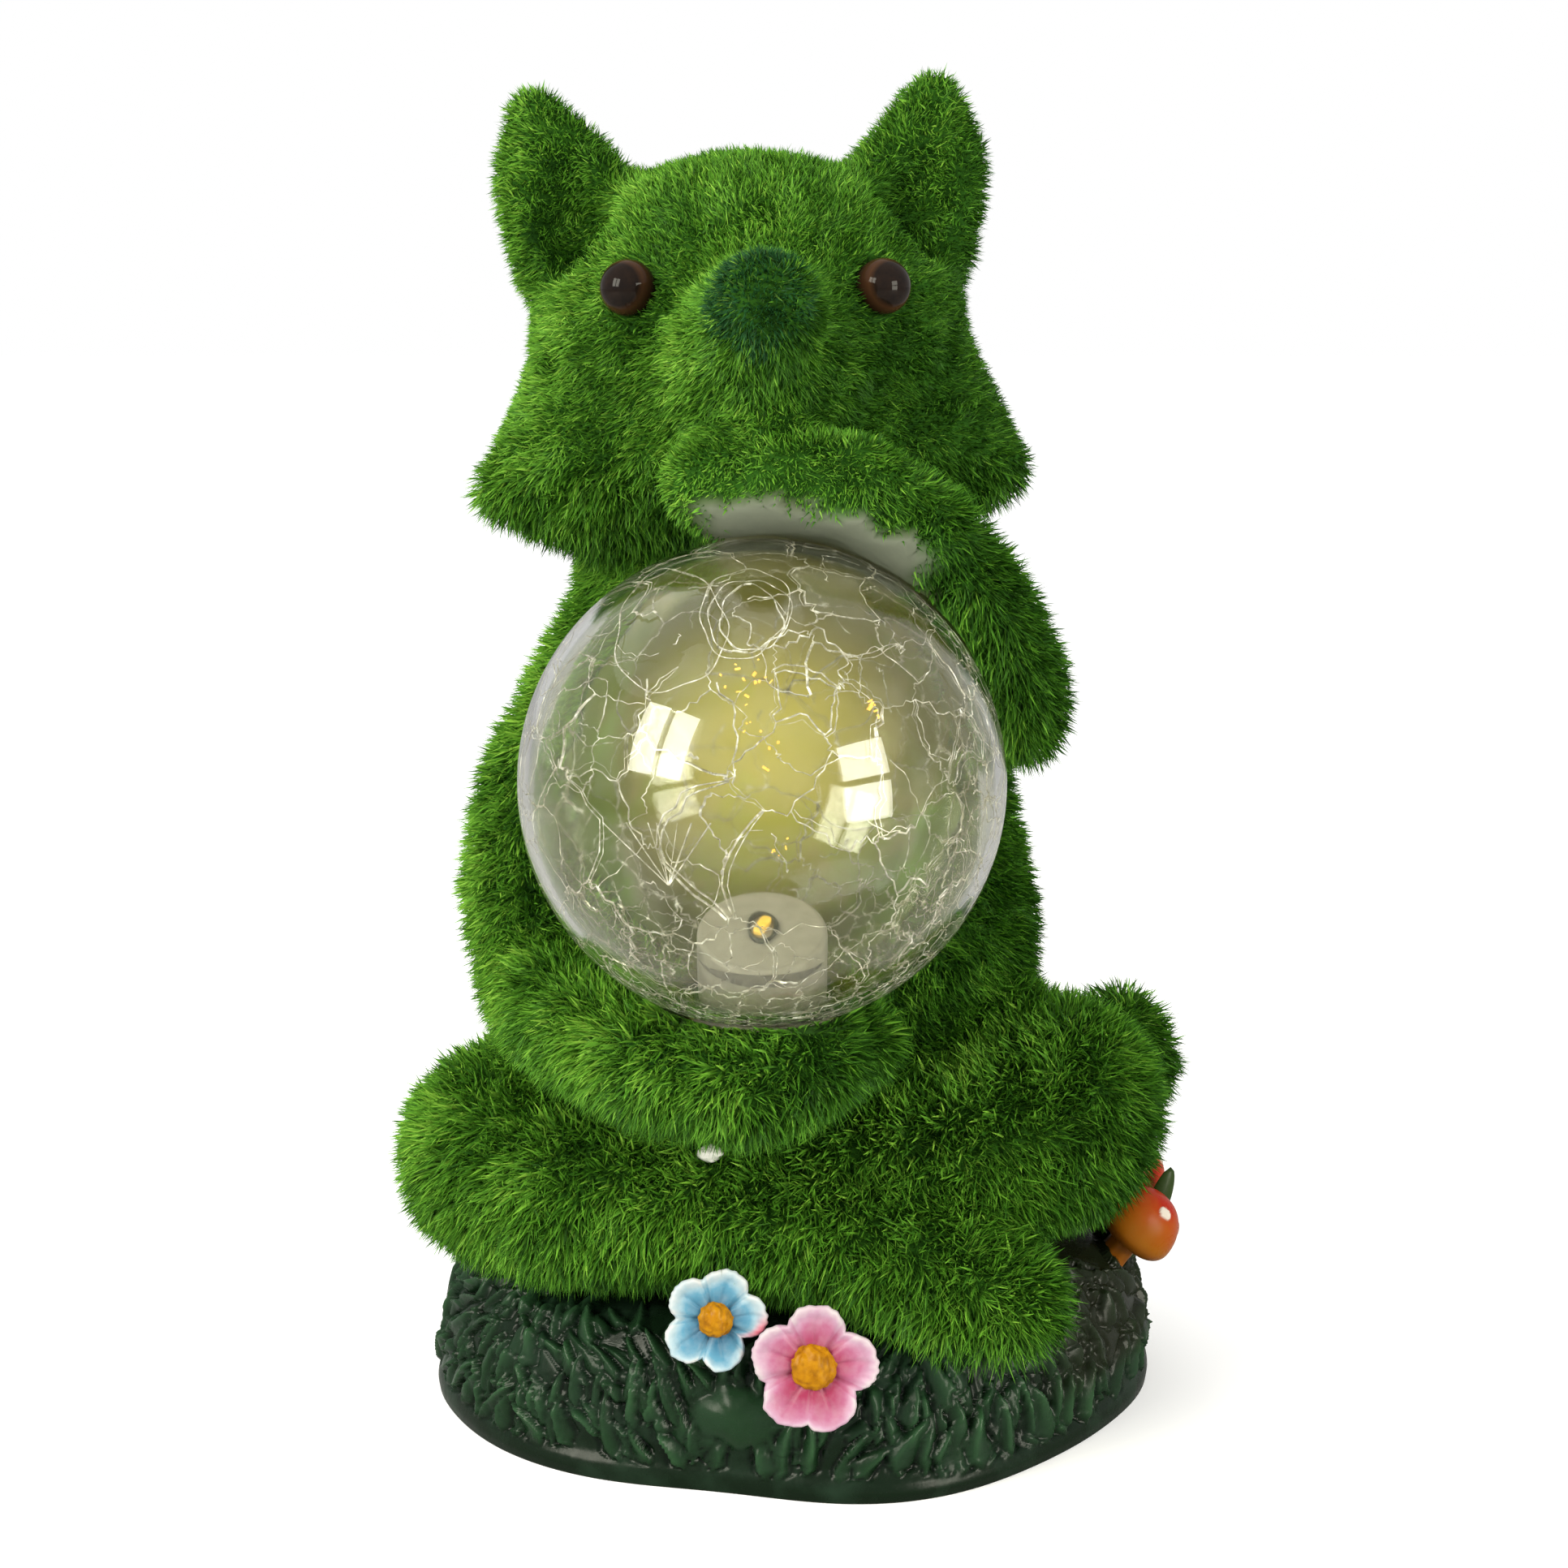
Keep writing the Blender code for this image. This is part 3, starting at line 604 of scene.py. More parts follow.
def cloudShell(seeds, borders, paths, atRadius):
    # One closed ball under the cracks: each cell is a fan from its seed to its borders, which follow the
    # same crooked paths as the cracks. Returns the seed that owns each face too
    centres, pairs, cells = borders
    count, steps = len(paths), paths.shape[1] - 1
    corners = np.zeros(centres.shape)
    corners[pairs[:, 0]], corners[pairs[:, 1]] = paths[:, 0], paths[:, -1]
    points = np.concatenate([seeds, corners, paths[:, 1:-1].reshape(-1, 3)]) * atRadius
    firstCorner, firstInner = len(seeds), len(seeds) + len(corners)
    inner = firstInner + np.arange(count * (steps - 1)).reshape(count, -1)
    line = np.concatenate([firstCorner + pairs[:, :1], inner, firstCorner + pairs[:, 1:]], 1)
    # A fan on the right of its border takes it backwards, so that all face outwards
    owner = np.repeat(cells.T.ravel(), steps)
    here, after = line[:, :-1].ravel(), line[:, 1:].ravel()
    sides = np.stack([np.concatenate([after, here]), np.concatenate([here, after])], -1)
    return points, np.column_stack([owner, sides]), owner


points, faces, owner = cloudShell(mainSeeds, mainBorders, cellPaths, ball - cracks["cloudBelow"])
cloudy, w, shader, coords = newMaterial("cloudyGlass", Roughness=0.6, Specular_IOR_Level=0.0)
veil = w.times(w.patches(coords, 60.0, 4.0, [(0.30, 0.25), (0.70, 1.0)]), w.attribute("cloud"))
w.join(veil, shader.inputs["Alpha"])
tone = w.patches(coords, 40.0, 3.0, [(0.35, (0.62, 0.66, 0.42)), (0.65, (0.84, 0.84, 0.76))])
w.join(tone, shader.inputs["Base Color"])
cloud = np.random.default_rng(cracks["cloudSeed"]).uniform(0.0, 1.0, len(mainSeeds)) ** 1.6
cloud *= cracks["cloudMost"]
cloud[np.linalg.norm(mainSeeds - onGlobe(*cracks["clearCell"]), axis=1) < 0.20] = 0.0
globeClouds = meshPiece("globeClouds", points + globe["centre"], faces, cloudy)
setValues(globeClouds.data, {"cloud": cloud[owner]}, "FACE")
print("globe: shell,", crackCount, "cracks and", len(mainSeeds), "cells")

lowLamp, highLamp = nodeBox("lamp_cap")
lowLed, highLed = nodeBox("led")
lampCentre = np.array(((lowLamp[0] + highLamp[0]) / 2, (lowLamp[1] + highLamp[1]) / 2, 0.0))
lampCap = {"flange": (highLamp[0] - lowLamp[0]) / 2, "body": 0.0109, "bottom": lowLamp[2], "top": highLamp[2],
           "flangeTop": lowLamp[2] + 0.002, "slant": math.radians(20), "rounds": 96}
white, w, shader, coords = newMaterial("whitePlastic", Subsurface_Weight=0.0)
usePaint(w, shader, coords, (0.47, 0.44, 0.33), (0.34, 0.31, 0.21), scale=300.0, amount=0.6, gloss=0.25,
         bump=0.1)
flange, flangeTop, body, slant = lampCap["flange"], lampCap["flangeTop"], lampCap["body"], lampCap["slant"]
lampTop = lampCap["top"] - (body - 0.0025) * math.tan(slant)
capCorners = [(0, lampCap["bottom"]), (flange, lampCap["bottom"]), (flange, flangeTop), (body, flangeTop),
              (body, lampTop - 0.004), (body, lampTop - 0.0003), (body - 0.0016, lampTop),
              (0.006, lampTop), (0, lampTop)]
cap = turned("lampCap", rounded(capCorners, 0.0012), lampCentre, lampCap["rounds"], white)
# The top slants to the front: everything above the shoulder is raised by its distance from the middle
points, _ = readPoints(cap.data)
shoulder = ease(lampTop - 0.0045, lampTop - 0.0030, points[:, 2])
points[:, 2] += (points[:, 1] - lampCentre[1]) * math.tan(slant) * shoulder
writePoints(cap.data, points)
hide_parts("lamp_cap")
onTop = np.array(((1, 0, 0), (0, math.cos(slant), math.sin(slant)), (0, -math.sin(slant), math.cos(slant))))
# The ring: a thin tube along an oval, thicker in three places
ring = {"reach": (0.0022, 0.0039), "thick": 0.00042, "lift": 0.0004, "rounds": 72, "sides": 16}
darkRing, w, shader, coords = newMaterial("lampRing")
usePaint(w, shader, coords, (0.050, 0.055, 0.020), (0.14, 0.13, 0.07), scale=800.0, gloss=0.25, bump=0.1)
rounds, sides = ring["rounds"], ring["sides"]
turn, roll = np.meshgrid(np.arange(rounds) * 2 * math.pi / rounds, np.arange(sides) * 2 * math.pi / sides)
tube = ring["thick"] * (1 + 0.25 * np.sin(3 * turn + 1))
reachX, reachY = (reach + tube * np.cos(roll) for reach in ring["reach"])
local = np.stack([reachX * np.cos(turn), reachY * np.sin(turn), ring["lift"] - tube * np.sin(roll)], -1)
faces = gridFaces(sides + 1, rounds)[:, ::-1] % (sides * rounds)
points = local.reshape(-1, 3) @ onTop + lampCentre + (0, 0, lampTop)
meshPiece("lampRing", points, faces, darkRing)

chip = {"size": (0.0019, 0.0048, 0.0011), "middle": (highLed + lowLed) / 2, "turn": math.radians(22),
        "power": 0.45, "rows": 22, "sides": 64}
ledMaterial, w, shader, coords = newMaterial("ledPhosphor", Roughness=0.3, Emission_Strength=0.5)
for key, dark, light in (("Base Color", (0.85, 0.50, 0.05), (1.0, 0.75, 0.15)),
                         ("Emission Color", (0.80, 0.42, 0.03), (1.0, 0.68, 0.10))):
    w.join(w.patches(coords, 900.0, 3.0, [(0.3, dark), (0.7, light)]), shader.inputs[key])
c, s = math.cos(chip["turn"]), math.sin(chip["turn"])
lean = np.array(((c, -s, 0), (s, c, 0), (0, 0, 1)))
# A rounded box: a ball whose coordinates are raised to a power below one
points = ballGrid(chip["sides"], polarRings(chip["rows"]))
points = np.sign(points) * np.abs(points) ** chip["power"] * np.array(chip["size"]) / 2
faces = closedGrid(chip["rows"], chip["sides"], fromTop=True)
led = meshPiece("ledChip", points @ lean @ onTop + chip["middle"], faces, ledMaterial)
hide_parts("led")
print("lamp: cap, ring and chip")


# The mound: a ring grid with carved grass

mound = {
    "width": 0.136, "depth": 0.105, "height": 0.028, "lipTop": 0.0040,
    "outline": (96, 100, 103, 104, 104, 103, 103, 102, 102, 100, 99, 100,
                100, 98, 97, 96, 93, 90, 94, 98, 95, 91, 90, 92),
    "levels": ((0, 0), (0.0625, -0.021), (0.125, 0), (0.196, 0.043), (0.38, 0.064), (0.58, 0.136), (0.76, 0.25),
               (0.91, 0.43), (1.0, 0.82)),
    "endFullness": 0.5, "columns": 760, "rows": 96, "blades": 760, "bladeHeight": 0.0023, "seed": 21,
    "bud": {"at": (259.5, 0.0148), "size": (0.0080, 0.0062), "height": 0.0026},
    "feet": {"low_toadstool": (1.0, 0.0210, 0.745), "high_toadstool": (16.5, 0.0126, 0.76)},
}


def outlineShare(angles):
    # Sum of waves through the outline's shares, one share each 15 degrees
    shares = np.array(mound["outline"]) / 100
    waves = np.fft.rfft(shares) / len(shares)
    waves[1:-1] *= 2
    return (waves * np.exp(1j * angles[:, None] * np.arange(len(waves)))).real.sum(1)


def moundSpine(t):
    # Height and inset along the mound's side, t from 0 at the floor to 1 near the top, eased between levels
    levels = np.array(mound["levels"]) * mound["height"]
    run = np.concatenate([[0], np.cumsum(np.linalg.norm(np.diff(levels, axis=0), axis=1))])
    steps, half = 1200, 30
    fine = np.linspace(0, run[-1], steps)
    curve = np.stack([np.interp(fine, run, levels[:, 0]), np.interp(fine, run, levels[:, 1])], -1)
    kernel = np.hanning(2 * half + 1)
    kernel /= kernel.sum()
    before, after = 2 * curve[:1] - curve[half:0:-1], 2 * curve[-1:] - curve[-2:-half - 2:-1]
    padded = np.concatenate([before, curve, after])
    curve = np.stack([np.convolve(padded[:, i], kernel, "valid") for i in (0, 1)], -1)
    curve[:, 0] = np.maximum(curve[:, 0] - curve[0, 0], 0)
    place = np.asarray(t) * run[-1]
    return np.interp(place, fine, curve[:, 0]), np.interp(place, fine, curve[:, 1]), run[-1]


def moundPoints(angles, height, inset):
    # Points on the mound's side: the outline's share of its half width and half depth less an inset, which is
    # smaller at both ends and where the flowers stand
    swell = np.exp(-((np.degrees(angles) % 360 - 258) / 17) ** 2)
    inset = inset * (1 - 0.7 * swell - mound["endFullness"] * np.cos(angles) ** 2)
    share = outlineShare(angles)
    return np.stack([share * (mound["width"] / 2 - inset) * np.cos(angles),
                     share * (mound["depth"] / 2 - inset) * np.sin(angles), height], -1)


def moundPoint(degrees, heightShare, inset):
    angle, height, inset = np.array([[math.radians(degrees)], [mound["height"] * heightShare], [inset]])
    return moundPoints(angle, height, inset)[0]


rows, columns, lipTop = mound["rows"], mound["columns"], mound["lipTop"]
t = np.concatenate([np.linspace(0, 0.78, rows - 8), np.linspace(0.78, 1, 9)[1:]])
heights, insets, spineLength = moundSpine(t)
angles = np.arange(columns) * 2 * math.pi / columns
turnOf, heightOf = np.meshgrid(angles, heights)
insetOf = np.repeat(insets[:, None], columns, 1)
smooth = moundPoints(turnOf.ravel(), heightOf.ravel(), insetOf.ravel()).reshape(rows, columns, 3)
across = np.roll(smooth, -1, 1) - np.roll(smooth, 1, 1)
upward = np.gradient(smooth, axis=0)
outward = unit(np.cross(across, upward))
edge = np.linalg.norm(np.roll(smooth[2], -1, 0) - smooth[2], axis=1)
arc = np.concatenate([[0], np.cumsum(edge)])
around, arc = arc[-1], arc[:-1]
alongOf, upOf = np.meshgrid(arc, t * spineLength)
rng = np.random.default_rng(mound["seed"])
relief = np.zeros((rows, columns))
degrees = np.degrees(angles)
for i in range(mound["blades"]):
    # One carved blade, a flake laid on those before it: it rises across its width to a sharp ridge, drops
    # there, is broad above its foot and pointed at its tip, and has a groove cut along its edge
    footAlong = rng.uniform(0, around)
    place = degrees[np.searchsorted(arc, footAlong) % columns]
    broad = ease(275, 292, place) * (1 - ease(340, 355, place))
    lower = i > mound["blades"] * 0.78
    footUp = rng.uniform(lipTop, lipTop + 0.0025) if lower else rng.uniform(lipTop + 0.002, spineLength * 0.80)
    long = rng.uniform(0.0070, 0.0125) * (1 + 0.10 * broad)
    wide = rng.uniform(0.0013, 0.0023) * (1 + 0.30 * broad)
    flow = 0.75 * math.sin(footAlong / around * 8 * math.pi + 0.6)
    flow += 0.35 * math.sin(footUp * 420 + footAlong * 60)
    lean = flow * (1 - 0.7 * broad) * (0.45 if lower else 1.0) + rng.normal() * 0.22
    top = mound["bladeHeight"] * rng.uniform(0.45, 1.0)
    hand = rng.choice((-1, 1))
    near = np.abs((arc - footAlong + around / 2) % around - around / 2) < 0.013
    fromAlong = (alongOf[:, near] - footAlong + around / 2) % around - around / 2
    fromUp = upOf[:, near] - footUp
    u = (fromUp * math.cos(lean) + fromAlong * math.sin(lean)) / long
    bow = 0.22 * long * (u * u - 0.25) * rng.choice((-1, 1))
    side = (fromAlong * math.cos(lean) - fromUp * math.sin(lean) + bow) * hand
    half = wide * np.clip((u + 0.12) * 5, 0, 1) * np.clip(1.05 - u, 0, 1) ** 0.55
    q = side / np.maximum(half, 1e-6)
    ridge = rng.uniform(0.35, 0.75)
    inside = np.clip(q, -1, 1)
    section = np.where(q < ridge, ((1 + inside) / (1 + ridge)) ** 0.8, (1 - inside) / (1 - ridge))
    within = (np.abs(q) < 1) & (half > 1e-5)
    form = top * section * (0.55 + 0.45 * np.clip(u + 0.1, 0, 1)) * np.clip((1.05 - u) * 4, 0, 1)
    block = relief[:, near]
    groove = 0.0006 * np.exp(-((np.abs(q) - 1.18) / 0.2) ** 2) * (half > wide * 0.2) * (u < 1.0)
    relief[:, near] = np.where(within, form + 0.22 * block, block - groove)
relief = np.clip(relief, -0.0013, 0.0026)
ground = ease(lipTop - 0.0012, lipTop + 0.0012, upOf)
# A smooth bud stands under the blue flower, and the carving stops round it
bud = mound["bud"]
budAlong = alongOf - np.interp(bud["at"][0], degrees, arc)
budUp = upOf - bud["at"][1]
budTurn = np.arctan2(budUp, budAlong)
ragged = 1 + 0.07 * np.sin(4 * budTurn + 1) + 0.04 * np.sin(7 * budTurn)
away = np.hypot(budAlong / bud["size"][0], budUp / bud["size"][1]) / ragged
dome = np.clip(1 - away ** 2.0, 0, 1) * bud["height"]
# It stops round the toadstools' feet too
feet = {name: moundPoint(angle, share, inset) for name, (angle, inset, share) in mound["feet"].items()}
fromFeet = np.min([np.linalg.norm(smooth - foot, axis=-1) for foot in feet.values()], axis=0)
relief = relief * ground * ease(0.75, 1.30, away) * ease(0.0040, 0.0065, fromFeet) + dome
points = smooth + outward * (relief - 0.0003 * ground)[..., None]
points[0, :, 2] = 0
flat = points.reshape(-1, 3)
topX, topY, _ = flat[-columns:].mean(0)
points = np.concatenate([flat, [(0, 0, 0), (topX, topY, heights[-1])]])
# Painted shade and highlight: the paint follows the carving's height, near black in the grooves and lighter
# green on the crests
tintWithPaintedShade = 0.35 + 0.65 * relief / mound["bladeHeight"]
tintWithPaintedShade = np.where(away < 1.1, np.minimum(tintWithPaintedShade, 0.62), tintWithPaintedShade)
# Painted shadow: the right end of the mound, where the knee's shadow falls, is painted a darker olive
paintedKneeShadow = (1 - ease(38, 58, np.abs((np.degrees(turnOf) - 8 + 180) % 360 - 180))) * ease(0.008, 0.013, upOf)
tintWithPaintedShade, paintedKneeShadow = (np.concatenate([v.ravel(), [v[0].mean(), v[-1].mean()]]) for v in (tintWithPaintedShade, paintedKneeShadow * 0.8))
moundMaterial, w, shader, coords = newMaterial("carvedMound", Specular_IOR_Level=0.15)
# The relief values carry painted shade: dark in the grooves, light on the crests
tone = w.ramp(w.attribute("relief"), [(0.0, (0.0010, 0.0020, 0.0013)), (0.33, (0.0030, 0.009, 0.0036)),
                                      (0.6, (0.010, 0.031, 0.012)), (1.0, (0.036, 0.100, 0.040))])
# The painted knee shadow turns both paint tones dark olive
tone = w.mix(w.attribute("paintedKneeShadow"), tone, (0.009, 0.010, 0.004))
worn = w.mix(w.attribute("paintedKneeShadow"), (0.018, 0.042, 0.024), (0.012, 0.014, 0.006))
usePaint(w, shader, coords, tone, worn, scale=150.0, amount=0.45, gloss=0.14, bump=0.3, depth=0.0004)
carvedMound = meshPiece("carvedMoundSurface", points, closedGrid(rows, columns), moundMaterial,
                        values={"relief": tintWithPaintedShade, "paintedKneeShadow": paintedKneeShadow})
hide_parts("base")
print("mound:", len(points), "points")


# The fox's casting under the flock

fox = {"weld": 1e-6, "voxel": 0.0017, "offGlass": 0.0006, "rounds": 8, "sinkHead": 0.0015, "sinkBody": 0.0021}
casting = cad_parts["fox"].data.copy()
welded = bmesh.new()
welded.from_mesh(casting)
bmesh.ops.remove_doubles(welded, verts=welded.verts, dist=fox["weld"])
welded.to_mesh(casting)
welded.free()
skin = bpy.data.objects.new("foxSkin", casting)
scene.collection.objects.link(skin)
bpy.context.view_layer.objects.active = skin
skin.select_set(True)
voxels = skin.modifiers.new("voxels", "REMESH")
voxels.mode = "VOXEL"
voxels.voxel_size = fox["voxel"]
voxels.use_smooth_shade = True
skinMesh = bpy.data.meshes.new_from_object(skin.evaluated_get(bpy.context.evaluated_depsgraph_get()))
skin.modifiers.clear()
skin.data = skinMesh
skinMesh.materials.clear()


def evenOut(mesh, rounds):
    # Each point moves half way to the mean of its neighbours, then a little more than that back, so bumps
    # go and thin forms such as the ears keep their size
    edges = np.empty(len(mesh.edges) * 2, np.int32)
    mesh.edges.foreach_get("vertices", edges)
    a, b = edges.reshape(-1, 2).T
    co, _ = readPoints(mesh)
    total = np.bincount(np.concatenate([a, b]), minlength=len(co))[:, None]
    for i in range(rounds):
        for share in (0.55, -0.57):
            beside = [np.bincount(a, co[b, k], len(co)) + np.bincount(b, co[a, k], len(co)) for k in range(3)]
            co += share * (np.stack(beside, -1) / total - co)
    writePoints(mesh, co)


evenOut(skinMesh, fox["rounds"])
centre, radius = globe["centre"], globe["radius"]
eyes = {name: nodeBox(name) for name in ("left_eye", "right_eye")}
eyeMiddles = {name: (low + high) / 2 for name, (low, high) in eyes.items()}
eyeRadius = 0.0046
tubeWay = unit(np.array((0.0, 1.0, -0.16)))


def fields(p, n):
    # Over the skin: the gap to the globe, the bare share, the lamp's socket, the distance to an eye, the
    # underside and the pale share of what is bare
    fromGlobe = np.linalg.norm(p - centre, axis=1) - radius
    fromAxis = np.linalg.norm((p - centre)[:, :2], axis=1)
    cup = 1.0 - ease(0.0008, 0.0014, fromGlobe)
    socket = (fromAxis < 0.0146) & (p[:, 2] < centre[2] - 0.02) & (p[:, 2] > 0.076)
    eye = np.min([np.linalg.norm(p - m, axis=1) for m in eyeMiddles.values()], axis=0)
    under = ease(0.2, 0.7, -n[:, 2]) * (1 - ease(0.030, 0.036, p[:, 2]))
    # Bare resin behind the globe, within a leaning tube
    away = p - centre
    depth = away @ tubeWay
    fromTube = np.linalg.norm(away - depth[:, None] * tubeWay, axis=1) + 0.0015 * swirl(p, 0.012, 7)
    behind = (1 - ease(0.0365, 0.0385, fromTube)) * (depth > 0) * (depth < 0.046)
    # The strip between the globe and the arm over it, and a small one low on the other side
    turn = np.degrees(np.arctan2(away[:, 2], away[:, 0]))
    fuzzy = fromGlobe + 0.0010 * swirl(p, 0.005, 5)
    strip = (1 - ease(0.0066, 0.0094, fuzzy)) * ease(46, 58, turn) * (1 - ease(98, 110, turn))
    strip = strip * (away[:, 1] > -0.012)
    low = (1 - ease(0.0020, 0.0040, fuzzy)) * ease(-152, -142, turn) * (1 - ease(-128, -118, turn))
    bare = np.maximum.reduce([cup, behind, strip, low, socket * 1.0])
    return fromGlobe, bare, socket, eye, under, np.maximum(strip, low)


p, n = readPoints(skinMesh)
_, bare, _, eye, _, pale = fields(p, n)
away = unit(p - centre)
headness = ease(0.168, 0.178, p[:, 2])
sink = fox["sinkBody"] * (1 - headness) + fox["sinkHead"] * headness
sink = sink * (1 - bare) * ease(eyeRadius, eyeRadius + 0.003, eye)
sunk = p - n * sink[:, None]
nearest = radius + fox["offGlass"]
inCup = (np.linalg.norm(sunk - centre, axis=1) < nearest) & (sunk[:, 2] > centre[2] - radius * 0.93)
sunk = np.where(inCup[:, None], centre + away * nearest, sunk)
writePoints(skinMesh, sunk)
# Painted light: the lamp's light on the recess behind it is painted as a glow, a bell curve of the distance
# from a point behind the globe
fromLight = ((sunk - (centre + np.array((0.0, 0.040, -0.002)))) ** 2).sum(1)
glow = np.exp(-fromLight / (2 * 0.017 ** 2))
# Flock dust greens the recess at its left, top left and right edges, and below
acrossShare, upShare = (sunk[:, 0] - centre[0]) / radius, (sunk[:, 2] - centre[2]) / radius
uneven = 0.10 * swirl(sunk, 0.013, 51)
greened = 0.9 * np.maximum.reduce([
    ease(0.55, 0.72, -acrossShare + uneven), ease(0.66, 0.80, acrossShare + uneven),
    1 - ease(0.28, 0.44, np.hypot(acrossShare + 0.36, upShare - 0.42) + uneven),
    ease(0.55, 0.75, -upShare + uneven)])
setValues(skinMesh, {"bare": bare, "glow": glow, "pale": pale, "greened": greened})

skinMaterial, w, shader, coords = newMaterial("flockedResin", Roughness=0.8, Specular_IOR_Level=0.06,
                                              Emission_Strength=1.0)
blotch = w.noise(coords, 140.0, 4.0)
glued = w.ramp(blotch, [(0.35, (0.008, 0.036, 0.003)), (0.65, (0.022, 0.085, 0.007))])
resin = w.patches(coords, 90.0, 5.0, [(0.35, (0.08, 0.10, 0.04)), (0.55, (0.16, 0.165, 0.095)),
                                      (0.75, (0.25, 0.25, 0.18))])
streak = w.patches(coords, 55.0, 4.0, [(0.48, 0), (0.58, 1)])
resin = w.mix(w.times(streak, 0.8), resin, (0.050, 0.16, 0.020))
resin = w.mix(w.attribute("greened"), resin, (0.018, 0.060, 0.009))
resin = w.mix(w.attribute("pale"), resin, (0.145, 0.162, 0.122))
w.join(w.mix(w.attribute("bare"), glued, resin), shader.inputs["Base Color"])
# Painted light: bare resin glows yellow where the painted lamp glow falls
paintedLampLight = w.mix(w.attribute("glow"), 0.0, (0.60, 0.49, 0.035))
w.join(w.mix(w.attribute("bare"), 0.0, paintedLampLight), shader.inputs["Emission Color"])
w.bump(blotch, 0.3, 0.0006, shader)
skinMesh.materials.append(skinMaterial)
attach(skin, "root")
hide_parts("fox")
print("fox skin:", len(skinMesh.vertices), "points")


# The flock: one small leaf of two triangles for each fibre

flock = {
    "count": 262000, "width": 0.00038,
    "head": 0.0023, "nose": 0.0019, "body": 0.0040, "leg": 0.0045,
    "comb": 0.34, "stray": 0.36, "clump": 0.30, "bend": 0.30, "seed": 4, "offGlass": 0.0004, "offFloor": 0.0006,
}
noseTip = onFox(-2.73, -24.15, 82.2)
nosePatch = onFox(-3.6, -24.15, 82.8)


def samplePlaces(mesh, count, weightOf, seed):
    # Points spread over a mesh and the way each faces: a triangle is drawn by its area times its weight,
    # then a place in it
    mesh.calc_loop_triangles()
    tris = np.empty(len(mesh.loop_triangles) * 3, np.int32)
    mesh.loop_triangles.foreach_get("vertices", tris)
    tris = tris.reshape(-1, 3)
    co, normals = readPoints(mesh)
    a, b, c = co[tris[:, 0]], co[tris[:, 1]], co[tris[:, 2]]
    area = np.linalg.norm(np.cross(b - a, c - a), axis=1) / 2
    total = np.cumsum(area * weightOf((a + b + c) / 3, unit(normals[tris].sum(1))))
    rng = np.random.default_rng(seed)
    draws = (np.arange(count) + rng.uniform(size=count)) / count * total[-1]
    pick = np.minimum(np.searchsorted(total, draws), len(tris) - 1)
    out, along = np.sqrt(rng.uniform(size=count)), rng.uniform(size=count)
    share = np.stack([1 - out, out * (1 - along), out * along], -1)[..., None]
    return (co[tris[pick]] * share).sum(1), unit((normals[tris[pick]] * share).sum(1))


def flockWeight(p, n):
    # How densely the fibres stand: full in front, fuller on the head, thinner behind and below, none on
    # bare resin
    fromGlobe, bare, socket, eye, under, _ = fields(p, n)
    none = (fromGlobe < 0.0010) | socket | (eye < eyeRadius + 0.0004)
    frontal = 0.55 + 0.45 * ease(-0.3, 0.3, -n[:, 1])
    frontal = frontal * (1 + 0.35 * ease(0.168, 0.178, p[:, 2]))
    return frontal * (1 - 0.85 * under) * (1 - bare) * ~none


count = flock["count"]
place, facing = samplePlaces(skinMesh, count, flockWeight, flock["seed"])
rng = np.random.default_rng(flock["seed"] + 1)
headness = ease(0.168, 0.178, place[:, 2])
legness = 1 - ease(0.070, 0.085, place[:, 2])
fromPatch = np.linalg.norm((place - nosePatch) * (1, 0.7, 0.9), axis=1)
noseness = 1 - ease(0.0062, 0.0096, fromPatch + 0.0010 * swirl(place, 0.006, 44))
length = flock["body"] * (1 - headness - legness) + flock["head"] * headness + flock["leg"] * legness
length = (length * (1 - noseness) + flock["nose"] * noseness) * rng.uniform(0.65, 1.2, count)
# Fibres beside the bare strip over the globe are short
away = place - centre
turn = np.degrees(np.arctan2(away[:, 2], away[:, 0]))
besideStrip = 1 - ease(0.0, 0.0060, np.linalg.norm(away, axis=1) - radius - 0.0090)
length *= 1 - 0.55 * besideStrip * ease(40, 55, turn) * (1 - ease(105, 120, turn)) * (away[:, 1] > -0.012)
down = np.tile((0.0, 0.0, -1.0), (count, 1))
fromNose = unit(place - noseTip)
comb = down * (1 - headness[:, None]) + fromNose * headness[:, None]
comb = comb - facing * (comb * facing).sum(1, keepdims=True)
clump = np.stack([swirl(place, 0.007, seed) for seed in (31, 32, 33)], -1)
stray = rng.normal(size=(count, 3))
way = unit(facing + comb * flock["comb"] + clump * flock["clump"] + stray * flock["stray"])
lift = (way * facing).sum(1)
way = unit(way + facing * np.clip(0.35 - lift, 0, None)[:, None])
turnAxis = unit(np.cross(way, facing) + 0.35 * rng.normal(size=(count, 3)))
turnAxis = unit(turnAxis - way * (turnAxis * way).sum(1, keepdims=True))
half = turnAxis * (flock["width"] / 2 * rng.uniform(0.7, 1.25, count) * (1 - 0.18 * headness))[:, None]
bend = unit(down + 0.7 * rng.normal(size=(count, 3))) * (flock["bend"] * length)[:, None]
root = place - facing * 0.0002
tip = root + way * length[:, None] + bend * 0.5
middle = root + way * (length * 0.52)[:, None] + bend * 0.06 + half * 0.5
# Fibres keep out of the glass and above the floor
nearest = radius + flock["offGlass"]
reach = [np.linalg.norm(at - centre, axis=1)[:, None] for at in (tip, middle)]
tip, middle = (np.where(gap < nearest, centre + unit(at - centre) * nearest, at)
               for at, gap in zip((tip, middle), reach))
tip[:, 2] = np.maximum(tip[:, 2], flock["offFloor"])

